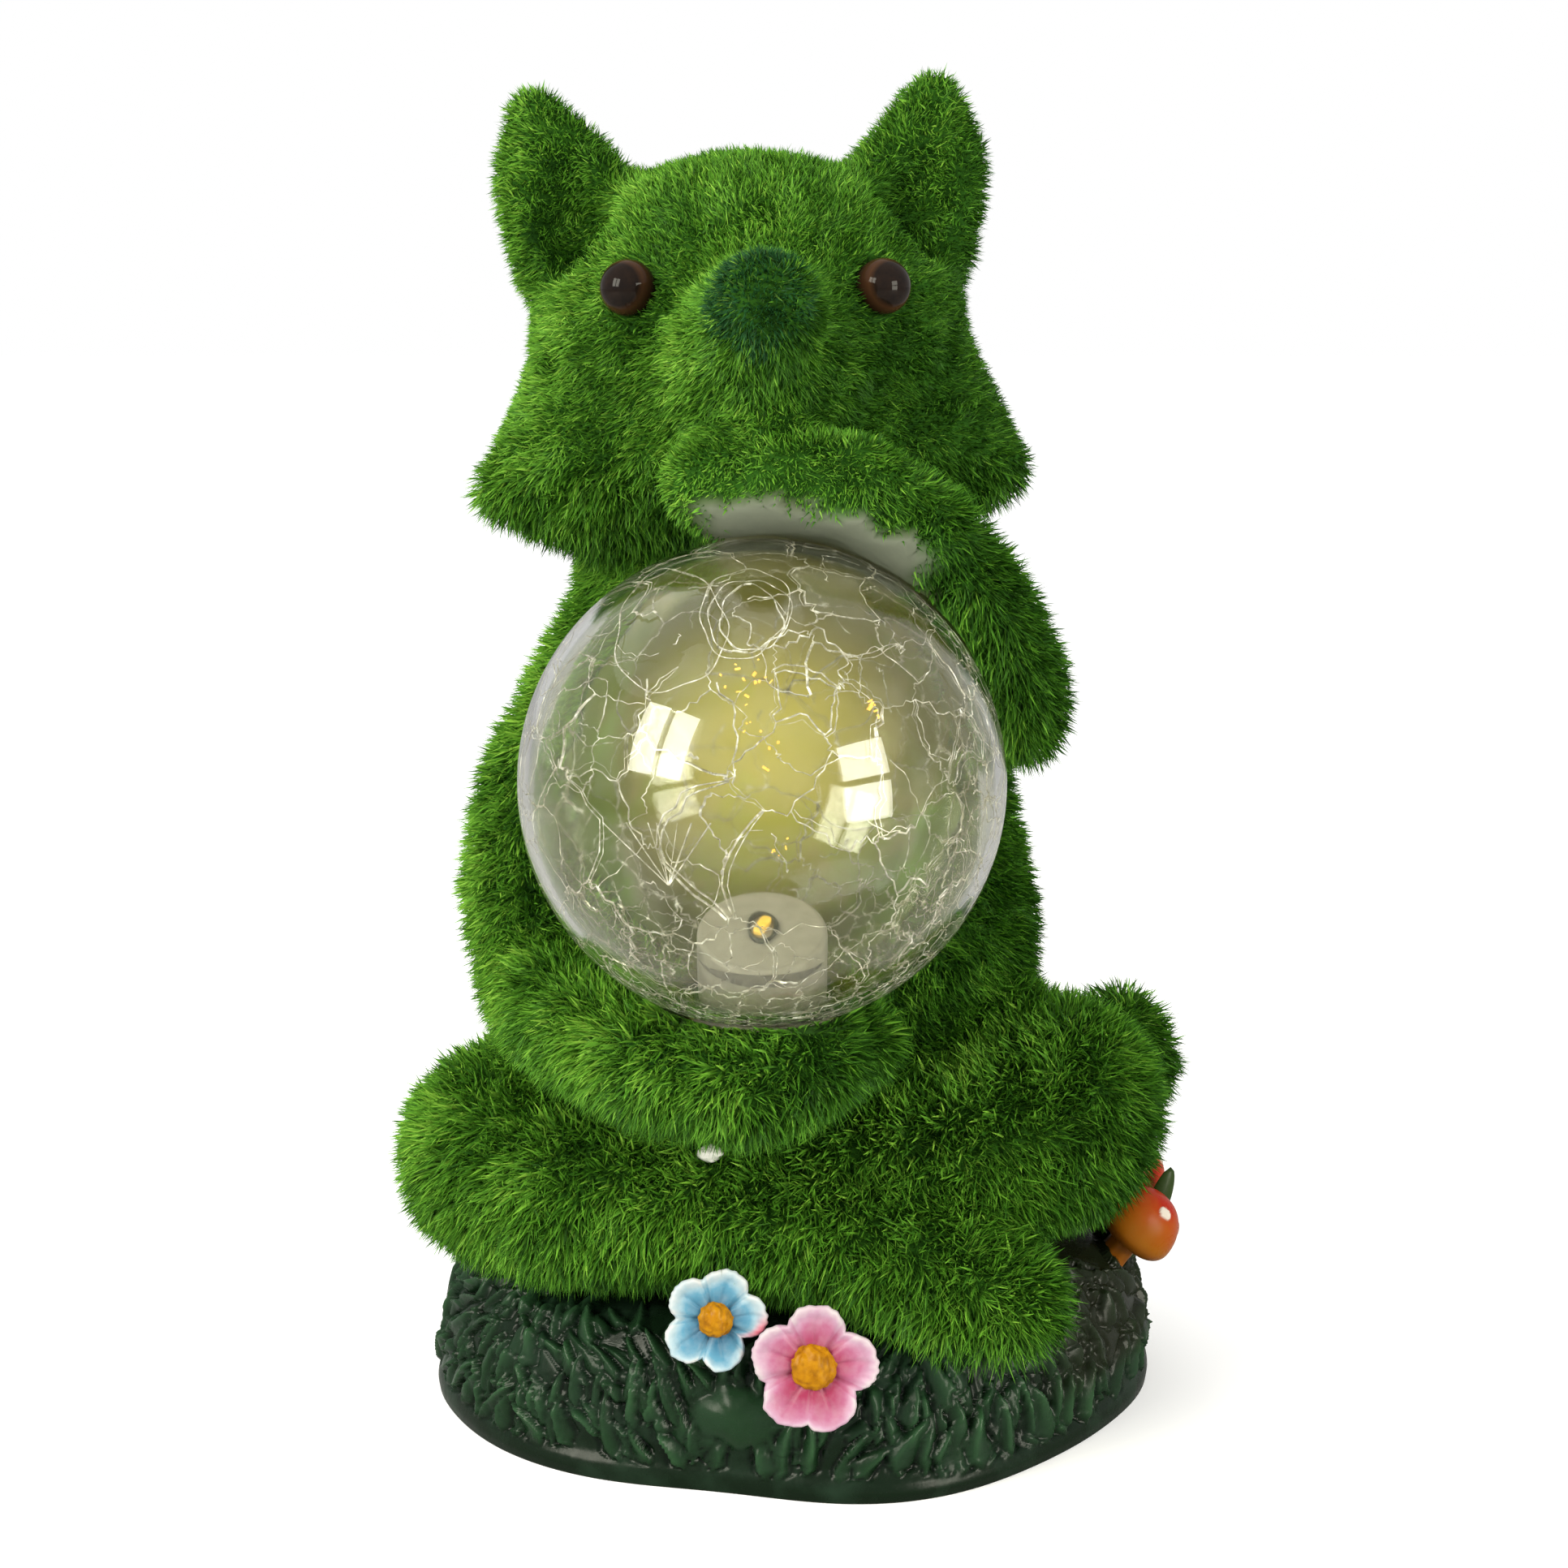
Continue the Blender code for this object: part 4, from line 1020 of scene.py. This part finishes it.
# Tint of a fibre: 0 to 0.85 dark to light green, 0.9 to 1 the blue-green of the nose
# Painted light and shade: fibres facing the upper left, where the key light stands, are tinted lighter, those
# facing away darker
paintedLitSide = 0.5 + 0.5 * np.clip(unit(facing) @ unit(np.array((-0.75, -0.35, 0.55))), -1, 1)
tintWithPaintedShade = 0.05 + 0.42 * paintedLitSide + 0.09 * swirl(place, 0.016, 41) + 0.20 * rng.normal(size=count)
tintWithPaintedShade = np.clip(tintWithPaintedShade, 0.0, 0.84)
bluish = rng.uniform(size=count) < noseness * 0.9
tintWithPaintedShade = np.where(bluish, 0.90 + 0.10 * rng.uniform(size=count), tintWithPaintedShade)

flockMaterial, w, shader, coords = newMaterial("grassFlock", Roughness=0.55, Specular_IOR_Level=0.14)
uv = w.add("ShaderNodeUVMap", uv_map="OFBake").outputs["UV"]
parts = w.add("ShaderNodeSeparateXYZ")
w.join(uv, parts.inputs["Vector"])
hue = w.ramp(parts.outputs["X"], [(0.0, (0.018, 0.076, 0.006)), (0.30, (0.060, 0.198, 0.013)),
                                  (0.60, (0.142, 0.370, 0.030)), (0.86, (0.290, 0.550, 0.062)),
                                  (0.89, (0.008, 0.050, 0.012)), (1.0, (0.026, 0.125, 0.034))])
# Painted shade: each fibre darkens towards its root, and its tip is painted a little lighter
paintedRootShade = w.ramp(parts.outputs["Y"], [(0.0, 0.35), (0.45, 0.85), (1.0, (1.15, 1.15, 1.10))])
w.join(w.mix(1.0, hue, paintedRootShade, "MULTIPLY"), shader.inputs["Base Color"])

level, atLeft = np.digitize(place[:, 2], (0.066, 0.110, 0.170), right=True), place[:, 0] >= 0
regions = {"flockHead": level == 3, "flockShoulders": level == 2, "flockBelly": level == 1,
           "flockLegsRight": (level == 0) & ~atLeft, "flockLegsLeft": (level == 0) & atLeft}
for name, chosen in regions.items():
    fibres = int(chosen.sum())
    quad = np.stack([root[chosen] - half[chosen], root[chosen] + half[chosen], middle[chosen], tip[chosen]], 1)
    base = np.arange(fibres)[:, None] * 4
    tris = np.concatenate([base + np.array([[0, 1, 2]]), base + np.array([[0, 2, 3]])])
    # The leaf's face looks the way the skin faces
    side = np.cross(quad[:, 1] - quad[:, 0], quad[:, 3] - quad[:, 0])
    wrong = (side * facing[chosen]).sum(1) < 0
    quad[wrong] = quad[wrong][:, [1, 0, 2, 3]]
    piece = meshPiece(name, quad.reshape(-1, 3), tris, flockMaterial)
    u = 0.01 + 0.96 * tintWithPaintedShade[chosen]
    uvs = np.stack([np.stack([u, u + 0.012, u + 0.006, u + 0.006], 1),
                    np.tile((0.02, 0.02, 0.52, 0.98), (fibres, 1))], -1).reshape(-1, 2)
    layer = piece.data.uv_layers.new(name="OFBake")
    corner = np.empty(len(piece.data.loops), np.int32)
    piece.data.loops.foreach_get("vertex_index", corner)
    layer.data.foreach_set("uv", uvs[corner].astype(np.float32).ravel())
    print(name, fibres, "fibres")


# Eyes: glossy domes with a brown ring

eyeMaterial, w, shader, coords = newMaterial("eyeGloss", Roughness=0.06, Specular_IOR_Level=0.11)
ringTone = w.ramp(w.attribute("outFromPupil"), [(0.0, (0.004, 0.004, 0.005)), (0.52, (0.006, 0.005, 0.005)),
                                                (0.66, (0.050, 0.022, 0.010)), (0.85, (0.030, 0.012, 0.006)),
                                                (1.0, (0.010, 0.006, 0.004))])
w.join(w.mix(w.times(w.noise(coords, 700.0), 0.25), ringTone, (0.06, 0.03, 0.015)), shader.inputs["Base Color"])
headMiddle = onFox(-4.2, -1.0, 78.4)
rows, sides = 38, 64
for name, middle in eyeMiddles.items():
    look = unit(middle - headMiddle) * (1, 1.2, 1)
    look = unit(look + np.array((0, -0.35, 0)))
    sideways = unit(np.cross((0, 0, 1), look))
    above = np.cross(look, sideways)
    local = ballGrid(sides, polarRings(rows))
    points = local @ np.stack([sideways, above, look]) * eyeRadius + middle
    outOf = np.degrees(np.arccos(np.clip(local[:, 2], -1, 1))) / 90
    label = "leftEyeBead" if name == "left_eye" else "rightEyeBead"
    bead = meshPiece(label, points, closedGrid(rows, sides, fromTop=True), eyeMaterial,
                     values={"outFromPupil": np.clip(outOf, 0, 1)})
    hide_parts(name)
print("eyes: two beads")

# Flowers: cupped petals with a raised white rim, and a knobbly heart

look = unit(np.array((0.03, -0.97, 0.22)))
upFlower = unit(np.array((0, 0, 1.0)) - look[2] * look)
acrossFlower = np.cross(upFlower, look)
flowers = {
    "blue_flower": {
        "label": "blueFlower", "slot": "blue_paint", "reach": 0.0088, "rim": 0.0030, "heart": (0.33, 0.0020),
        "place": (-102.9, 0.11, -0.0009, 0.0013),
        "petals": ((7, 35, 1.0), (72, 36, 1.02), (141, 38, 0.98), (215, 37, 1.04), (283, 37, 0.97)),
        "tones": ((0.030, 0.125, 0.220), (0.095, 0.270, 0.400), (0.360, 0.490, 0.560), (0.580, 0.590, 0.600)),
        "zones": (0.36, 0.62, 0.77, 0.89),
        "smear": (0.60, 0.05, 0.12),
    },
    "pink_flower": {
        "label": "pinkFlower", "slot": "pink_paint", "reach": 0.0110, "rim": 0.0027, "heart": (0.34, 0.0023),
        "place": (-87.6, -0.08, -0.0008, 0.0),
        "petals": ((7, 38, 1.0), (85, 36, 0.99), (160, 39, 0.98), (236, 38, 1.0), (292, 38, 1.0)),
        "tones": ((0.290, 0.030, 0.080), (0.380, 0.115, 0.215), (0.480, 0.290, 0.410), (0.560, 0.500, 0.530)),
        "zones": (0.38, 0.63, 0.78, 0.90),
        "smear": None,
    },
}


def flowerFront(a, r, form):
    # Outline: the widest of five lobes, each falling off with a power of the turn from its middle.
    # Front: a shallow cup, a groove between lobes, a crease along each and a raised rim
    middle, half, size = np.array(form["petals"], float).T
    turn = np.abs((a[..., None] - middle + 180) % 360 - 180) / half
    lobes = size * (1 - 0.26 * turn ** 2.3)
    best = np.argmax(lobes, -1)
    share = np.take_along_axis(lobes, best[..., None], -1)[..., 0]
    off = np.take_along_axis(turn, best[..., None], -1)[..., 0]
    rise = 0.0013 * r ** 1.6 - 0.0011 * ease(0.55, 1.05, off) * ease(0.15, 0.5, r) \
        - 0.00030 * np.exp(-(off / 0.10) ** 2) * ease(0.2, 0.45, r) * (1 - ease(0.72, 0.95, r)) \
        + 0.00035 * ease(0.80, 0.97, r)
    return share, off, rise


for node, form in flowers.items():
    angle, rise, aside, lift = form["place"]
    heartAt = moundPoint(angle, 1 + rise, -0.0018) + aside * acrossFlower + lift * upFlower
    # Rings from the middle of the front to its edge, round the edge, and back in behind
    sides, front, edge, back = 168, 30, 5, 10
    out = np.concatenate([np.linspace(0.04, 1.0, front), np.full(edge, 1.0), np.linspace(0.97, 0.10, back)])
    a, r = np.meshgrid(np.arange(sides) * 360 / sides, out)
    x, y = np.cos(np.radians(a)), np.sin(np.radians(a))
    share, off, rise = flowerFront(a, r, form)
    circle = np.stack([x, y, 0 * a], -1).reshape(-1, 3)
    edgeWave = 1 + 0.020 * swirl(circle, 0.55, 61).reshape(a.shape) \
        + 0.014 * swirl(circle, 0.16, 62).reshape(a.shape) * ease(0.7, 1.0, r)
    over = np.linspace(0, math.pi, edge + 2)[1:-1]
    over = np.concatenate([np.zeros(front), over, np.full(back, math.pi)])[:, None]
    reach = form["reach"] * share * edgeWave * r * 0.955 + 0.0005 * np.sin(over)
    plug = np.concatenate([np.zeros(front + edge), ease(0.75, 0.30, out[front + edge:])])[:, None]
    height = form["rim"] - 0.0016 + rise - 0.0012 * (1 - np.cos(over)) / 2 - 0.0030 * plug
    local = np.stack([reach * x, reach * y, height], -1).reshape(-1, 3)
    local = np.concatenate([local, [(0, 0, height[0].mean()), (0, 0, height[-1].mean())]])
    points = heartAt + local @ np.stack([acrossFlower, upFlower, look])
    rim = form["tones"][-1]
    petal, w, shader, coords = newMaterial(form["label"] + "Paint", Specular_IOR_Level=0.2)
    blend = w.plus(w.attribute("fromHeart"), w.times(w.noise(coords, 420.0, 4.0), 0.26))
    tone = w.ramp(w.times(blend, 0.8), list(zip(form["zones"], form["tones"])))
    if form["smear"]:
        tone = w.mix(w.attribute("smear"), tone, form["smear"])
    usePaint(w, shader, coords, tone, rim, scale=500.0, amount=0.14, gloss=0.25, bump=0.25, depth=0.0002)
    fromHeart = np.concatenate([(r * (0.90 + 0.10 * off) - 0.10 * (off > 0.8)).ravel(), [0, 1.0]])
    fromHeart -= 0.12 * np.append(ease(0.0, 1.0, -y).ravel(), [0, 0]) * ease(1.0, 0.85, fromHeart)
    fromHeart[(front + edge) * sides:] = 1.0
    smear = np.exp(-(((a + 180) % 360 - 180 + 14) / 16) ** 2) * ease(0.78, 0.98, r)
    smear = np.concatenate([smear.ravel(), [0, 0]]) * (0.9 if form["smear"] else 0.0)
    faces = closedGrid(len(out), sides, fromTop=True)
    petals = meshPiece(form["label"] + "Petals", points, faces, petal,
                       values={"fromHeart": fromHeart, "smear": smear})
    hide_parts(node)
    # Heart: a low dome of uneven lumps
    rows, sides = 25, 72
    polar = np.linspace(0, math.pi / 2 * 1.15, rows + 1)
    ball = ballGrid(sides, polar[1:], lowest=math.cos(polar[-1]))
    lumps = 1 + 0.11 * np.abs(swirl(ball, 1.1, 71 + len(node))) + 0.03 * swirl(ball, 0.4, 72)
    lumps[-1] = 1
    broad, tall = form["heart"][0] * form["reach"], form["heart"][1]
    local = ball * lumps[:, None] * (broad, broad, tall) + (0, 0, form["rim"] - 0.0016)
    points = heartAt + local @ np.stack([acrossFlower, upFlower, look])
    heartMaterial, w, shader, coords = newMaterial(form["label"] + "HeartPaint", Specular_IOR_Level=0.14)
    grain = w.patches(coords, 700.0, 4.0, [(0.32, (0.24, 0.090, 0.002)), (0.50, (0.38, 0.155, 0.002)),
                                           (0.70, (0.46, 0.21, 0.004))])
    usePaint(w, shader, coords, grain, (0.44, 0.22, 0.006), scale=600.0, amount=0.3, gloss=0.25, bump=0.4)
    faces = closedGrid(rows, sides, fromTop=True)
    meshPiece(form["label"] + "Heart", points, faces, heartMaterial)
print("flowers: petals and hearts")


# Toadstools: a cap with a turned-in rim and gills, on a stem that flares at its foot

toadstools = {
    "low_toadstool": {
        "label": "lowToadstool", "slot": "orange_paint",
        "lean": (0.62, -0.06, 0.78), "cap": 0.0075, "stem": 0.0120,
        "tones": ((0.33, 0.016, 0.004), (0.32, 0.055, 0.004), (0.28, 0.090, 0.004), (0.24, 0.075, 0.006)),
        "spots": ((0.59, -0.56, 0.58), (0.45, 0.70, 0.55), (0.95, 0.10, -0.05), (-0.35, 0.75, 0.55)),
    },
    "high_toadstool": {
        "label": "highToadstool", "slot": "red_paint",
        "lean": (0.30, 0.0, 0.95), "cap": 0.0062, "stem": 0.0148,
        "tones": ((0.30, 0.008, 0.005), (0.34, 0.018, 0.006), (0.32, 0.040, 0.008), (0.28, 0.060, 0.012)),
        "spots": ((0.80, -0.10, 0.60), (-0.10, 0.80, 0.60), (0.60, 0.70, 0.30), (-0.50, -0.60, 0.60)),
    },
}
for node, form in toadstools.items():
    axis = unit(np.array(form["lean"]))
    sideAxis = unit(np.cross((0, 1.0, 0), axis))
    otherAxis = np.cross(axis, sideAxis)
    turnIt = np.stack([sideAxis, otherAxis, axis])
    # Cap profile: dome from the apex to the widest ring, rolled rim, then the hollow underside with its gills
    size, sides, foot = form["cap"], 120, feet[node]
    fromTop = np.linspace(0.03, 1.0, 30) * math.pi / 2
    dome = np.stack([np.sin(fromTop) ** 0.92, 1.08 * np.cos(fromTop) ** 1.05], -1)
    turnIn = np.linspace(0.12, 1, 12) * math.pi / 2
    rim = np.stack([0.50 + 0.50 * np.cos(turnIn), -0.42 * np.sin(turnIn)], -1)
    hollow = np.stack([np.linspace(0.48, 0.34, 6), np.linspace(-0.41, -0.32, 6)], -1)
    path = np.concatenate([dome, rim, hollow]) * size
    rows, firstGill = len(path), len(dome) + len(rim)
    a, k = np.meshgrid(np.arange(sides) * 2 * math.pi / sides, np.arange(rows))
    gills = 0.00022 * np.abs(np.sin(a * 24)) * ease(0, 4, k - firstGill)
    reach = path[k, 0] * (1 + 0.020 * np.sin(2 * a + 1) + 0.012 * np.sin(5 * a))
    local = np.stack([reach * np.cos(a), reach * np.sin(a), path[k, 1] + gills], -1).reshape(-1, 3)
    # Spots are low round swellings of the dome
    spot = np.zeros(len(local))
    for way in form["spots"]:
        near = np.linalg.norm((unit(local) - turnIt @ unit(np.array(way))) * (1.0, 1.3, 1.0), axis=1)
        spot = np.maximum(spot, 1 - ease(0.150, 0.185, near))
    local = local + unit(local) * (0.00022 * spot)[:, None]
    local = np.concatenate([local, [(0, 0, size * 1.08), (0, 0, -0.02 * size)]])
    points = foot + axis * form["stem"] + local @ turnIt
    capPaint, w, shader, coords = newMaterial(form["label"] + "Paint", Specular_IOR_Level=0.10)
    blend = w.plus(w.attribute("fromApex"), w.times(w.noise(coords, 160.0), 0.35))
    tone = w.ramp(blend, list(zip((0.25, 0.55, 0.85, 1.0), form["tones"])))
    tone = w.mix(w.attribute("spot"), tone, (0.62, 0.56, 0.49))
    usePaint(w, shader, coords, tone, (0.34, 0.13, 0.015), scale=260.0, amount=0.25, gloss=0.18, bump=0.2,
             depth=0.0002)
    fromApex = np.concatenate([(k / (rows - 1) * 1.35 - 0.10).ravel(), [0.0, 1.1]])
    faces = closedGrid(rows, sides, fromTop=True)
    cap = meshPiece(form["label"] + "Cap", points, faces, capPaint,
                    values={"fromApex": np.clip(fromApex, 0, 1.1), "spot": np.concatenate([spot, [0, 0]])})
    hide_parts(node)
    # Stem: from below the mound's skin to the gills, narrow above a flared foot
    rows, sides = 26, 64
    up = np.linspace(-0.0015, form["stem"] - 0.0001, rows)
    share = (up - up[0]) / (up[-1] - up[0])
    flare = 0.10 * (1 - share) ** 2 + 0.14 * np.exp(-((share - 0.30) / 0.10) ** 2)
    wide = size * (0.36 + flare + 0.05 * share ** 6)
    a, k = np.meshgrid(np.arange(sides) * 2 * math.pi / sides, np.arange(rows))
    reach = wide[k] * (1 + 0.02 * np.sin(9 * a + 3 * share[k]) + 0.015 * np.sin(4 * a))
    local = np.stack([reach * np.cos(a), reach * np.sin(a), up[k]], -1).reshape(-1, 3)
    local = np.concatenate([local, [(0, 0, up[0]), (0, 0, up[-1])]])
    stemPaint, w, shader, coords = newMaterial(form["label"] + "StemPaint", Specular_IOR_Level=0.12)
    usePaint(w, shader, coords, (0.26, 0.080, 0.004), (0.30, 0.11, 0.008), scale=300.0, amount=0.5,
             gloss=0.25, bump=0.3)
    meshPiece(form["label"] + "Stem", foot + local @ turnIt, closedGrid(rows, sides), stemPaint)


# A moulded leaf stands between the toadstools, another behind them: a lens section carried up a bent line
leaves = (((0.0620, 0.0060, 0.0210), (0.0697, 0.0056, 0.0402), 0.0025),
          ((0.0560, 0.0240, 0.0180), (0.0655, 0.0235, 0.0345), 0.0024))
rows, sides = 20, 24
leafSets, leafFaces, firstPoint = [], [], 0
for start, end, wide in leaves:
    start, end = np.array(start), np.array(end)
    turn, share = np.meshgrid(np.arange(sides) * 2 * math.pi / sides, np.linspace(0, 1, rows + 2)[1:-1])
    outside = unit(np.array((0.25, -1.0 if end[1] < 0.01 else 1.0, 0)))
    besides = np.array((-outside[1], outside[0], 0))
    line = start + (end - start) * share[..., None] + (0.0014 * np.sin(math.pi * share))[..., None] * outside
    spreadOf = wide * np.sin(math.pi * share ** 1.2) ** 0.5
    flat = 0.40 * np.sin(turn) * (1 - 0.35 * np.cos(turn) ** 2)
    points = line + (spreadOf * np.cos(turn))[..., None] * besides + (spreadOf * flat)[..., None] * outside
    points = np.concatenate([points.reshape(-1, 3), [start, end]])
    leafSets.append(points)
    leafFaces += closedGrid(rows, sides, fromTop=True, first=firstPoint)
    firstPoint += len(points)
leafPaint, w, shader, coords = newMaterial("mouldedLeaves", Specular_IOR_Level=0.14)
usePaint(w, shader, coords, (0.020, 0.040, 0.008), (0.034, 0.058, 0.014), scale=220.0, amount=0.5, gloss=0.2,
         bump=0.4, depth=0.0004)
meshPiece("mouldedLeaves", np.concatenate(leafSets), leafFaces, leafPaint)
print("toadstools: caps, stems and leaves")


# A small blob of white glue on the shin, where a line from the camera's place meets the skin

def meetSkin(px, py):
    # Along the line of sight through a pixel of a 1932 wide frame to the first skin it meets
    middle, focal, down = 966, 3378, view["down"]
    x, y = (px - middle) / focal, (middle - py) / focal
    way = Vector((x, math.cos(down) + y * math.sin(down), -math.sin(down) + y * math.cos(down))).normalized()
    _, place, facing, _ = skin.ray_cast(camera.location, way)
    return np.array(place), np.array(facing)


spotAt, spotFacing = meetSkin(877, 1424)
rows, sides = 20, 40
ball = ballGrid(sides, polarRings(rows))
lumps = 1 + 0.10 * swirl(ball, 1.6, 91) + 0.04 * swirl(ball, 0.6, 92)
points = spotAt + spotFacing * 0.0020 + ball * lumps[:, None] * (0.0021, 0.0017, 0.0015)
glue, w, shader, coords = newMaterial("whiteGlue")
usePaint(w, shader, coords, (0.78, 0.78, 0.74), (0.55, 0.56, 0.50), scale=500.0, amount=0.5, bump=0.3)
meshPiece("whiteNub", points, closedGrid(rows, sides, fromTop=True), glue)

meshes = [o.data for o in scene.objects if o.type == "MESH"]
for mesh in meshes:
    mesh.calc_loop_triangles()
print("triangles in all:", sum(len(mesh.loop_triangles) for mesh in meshes))
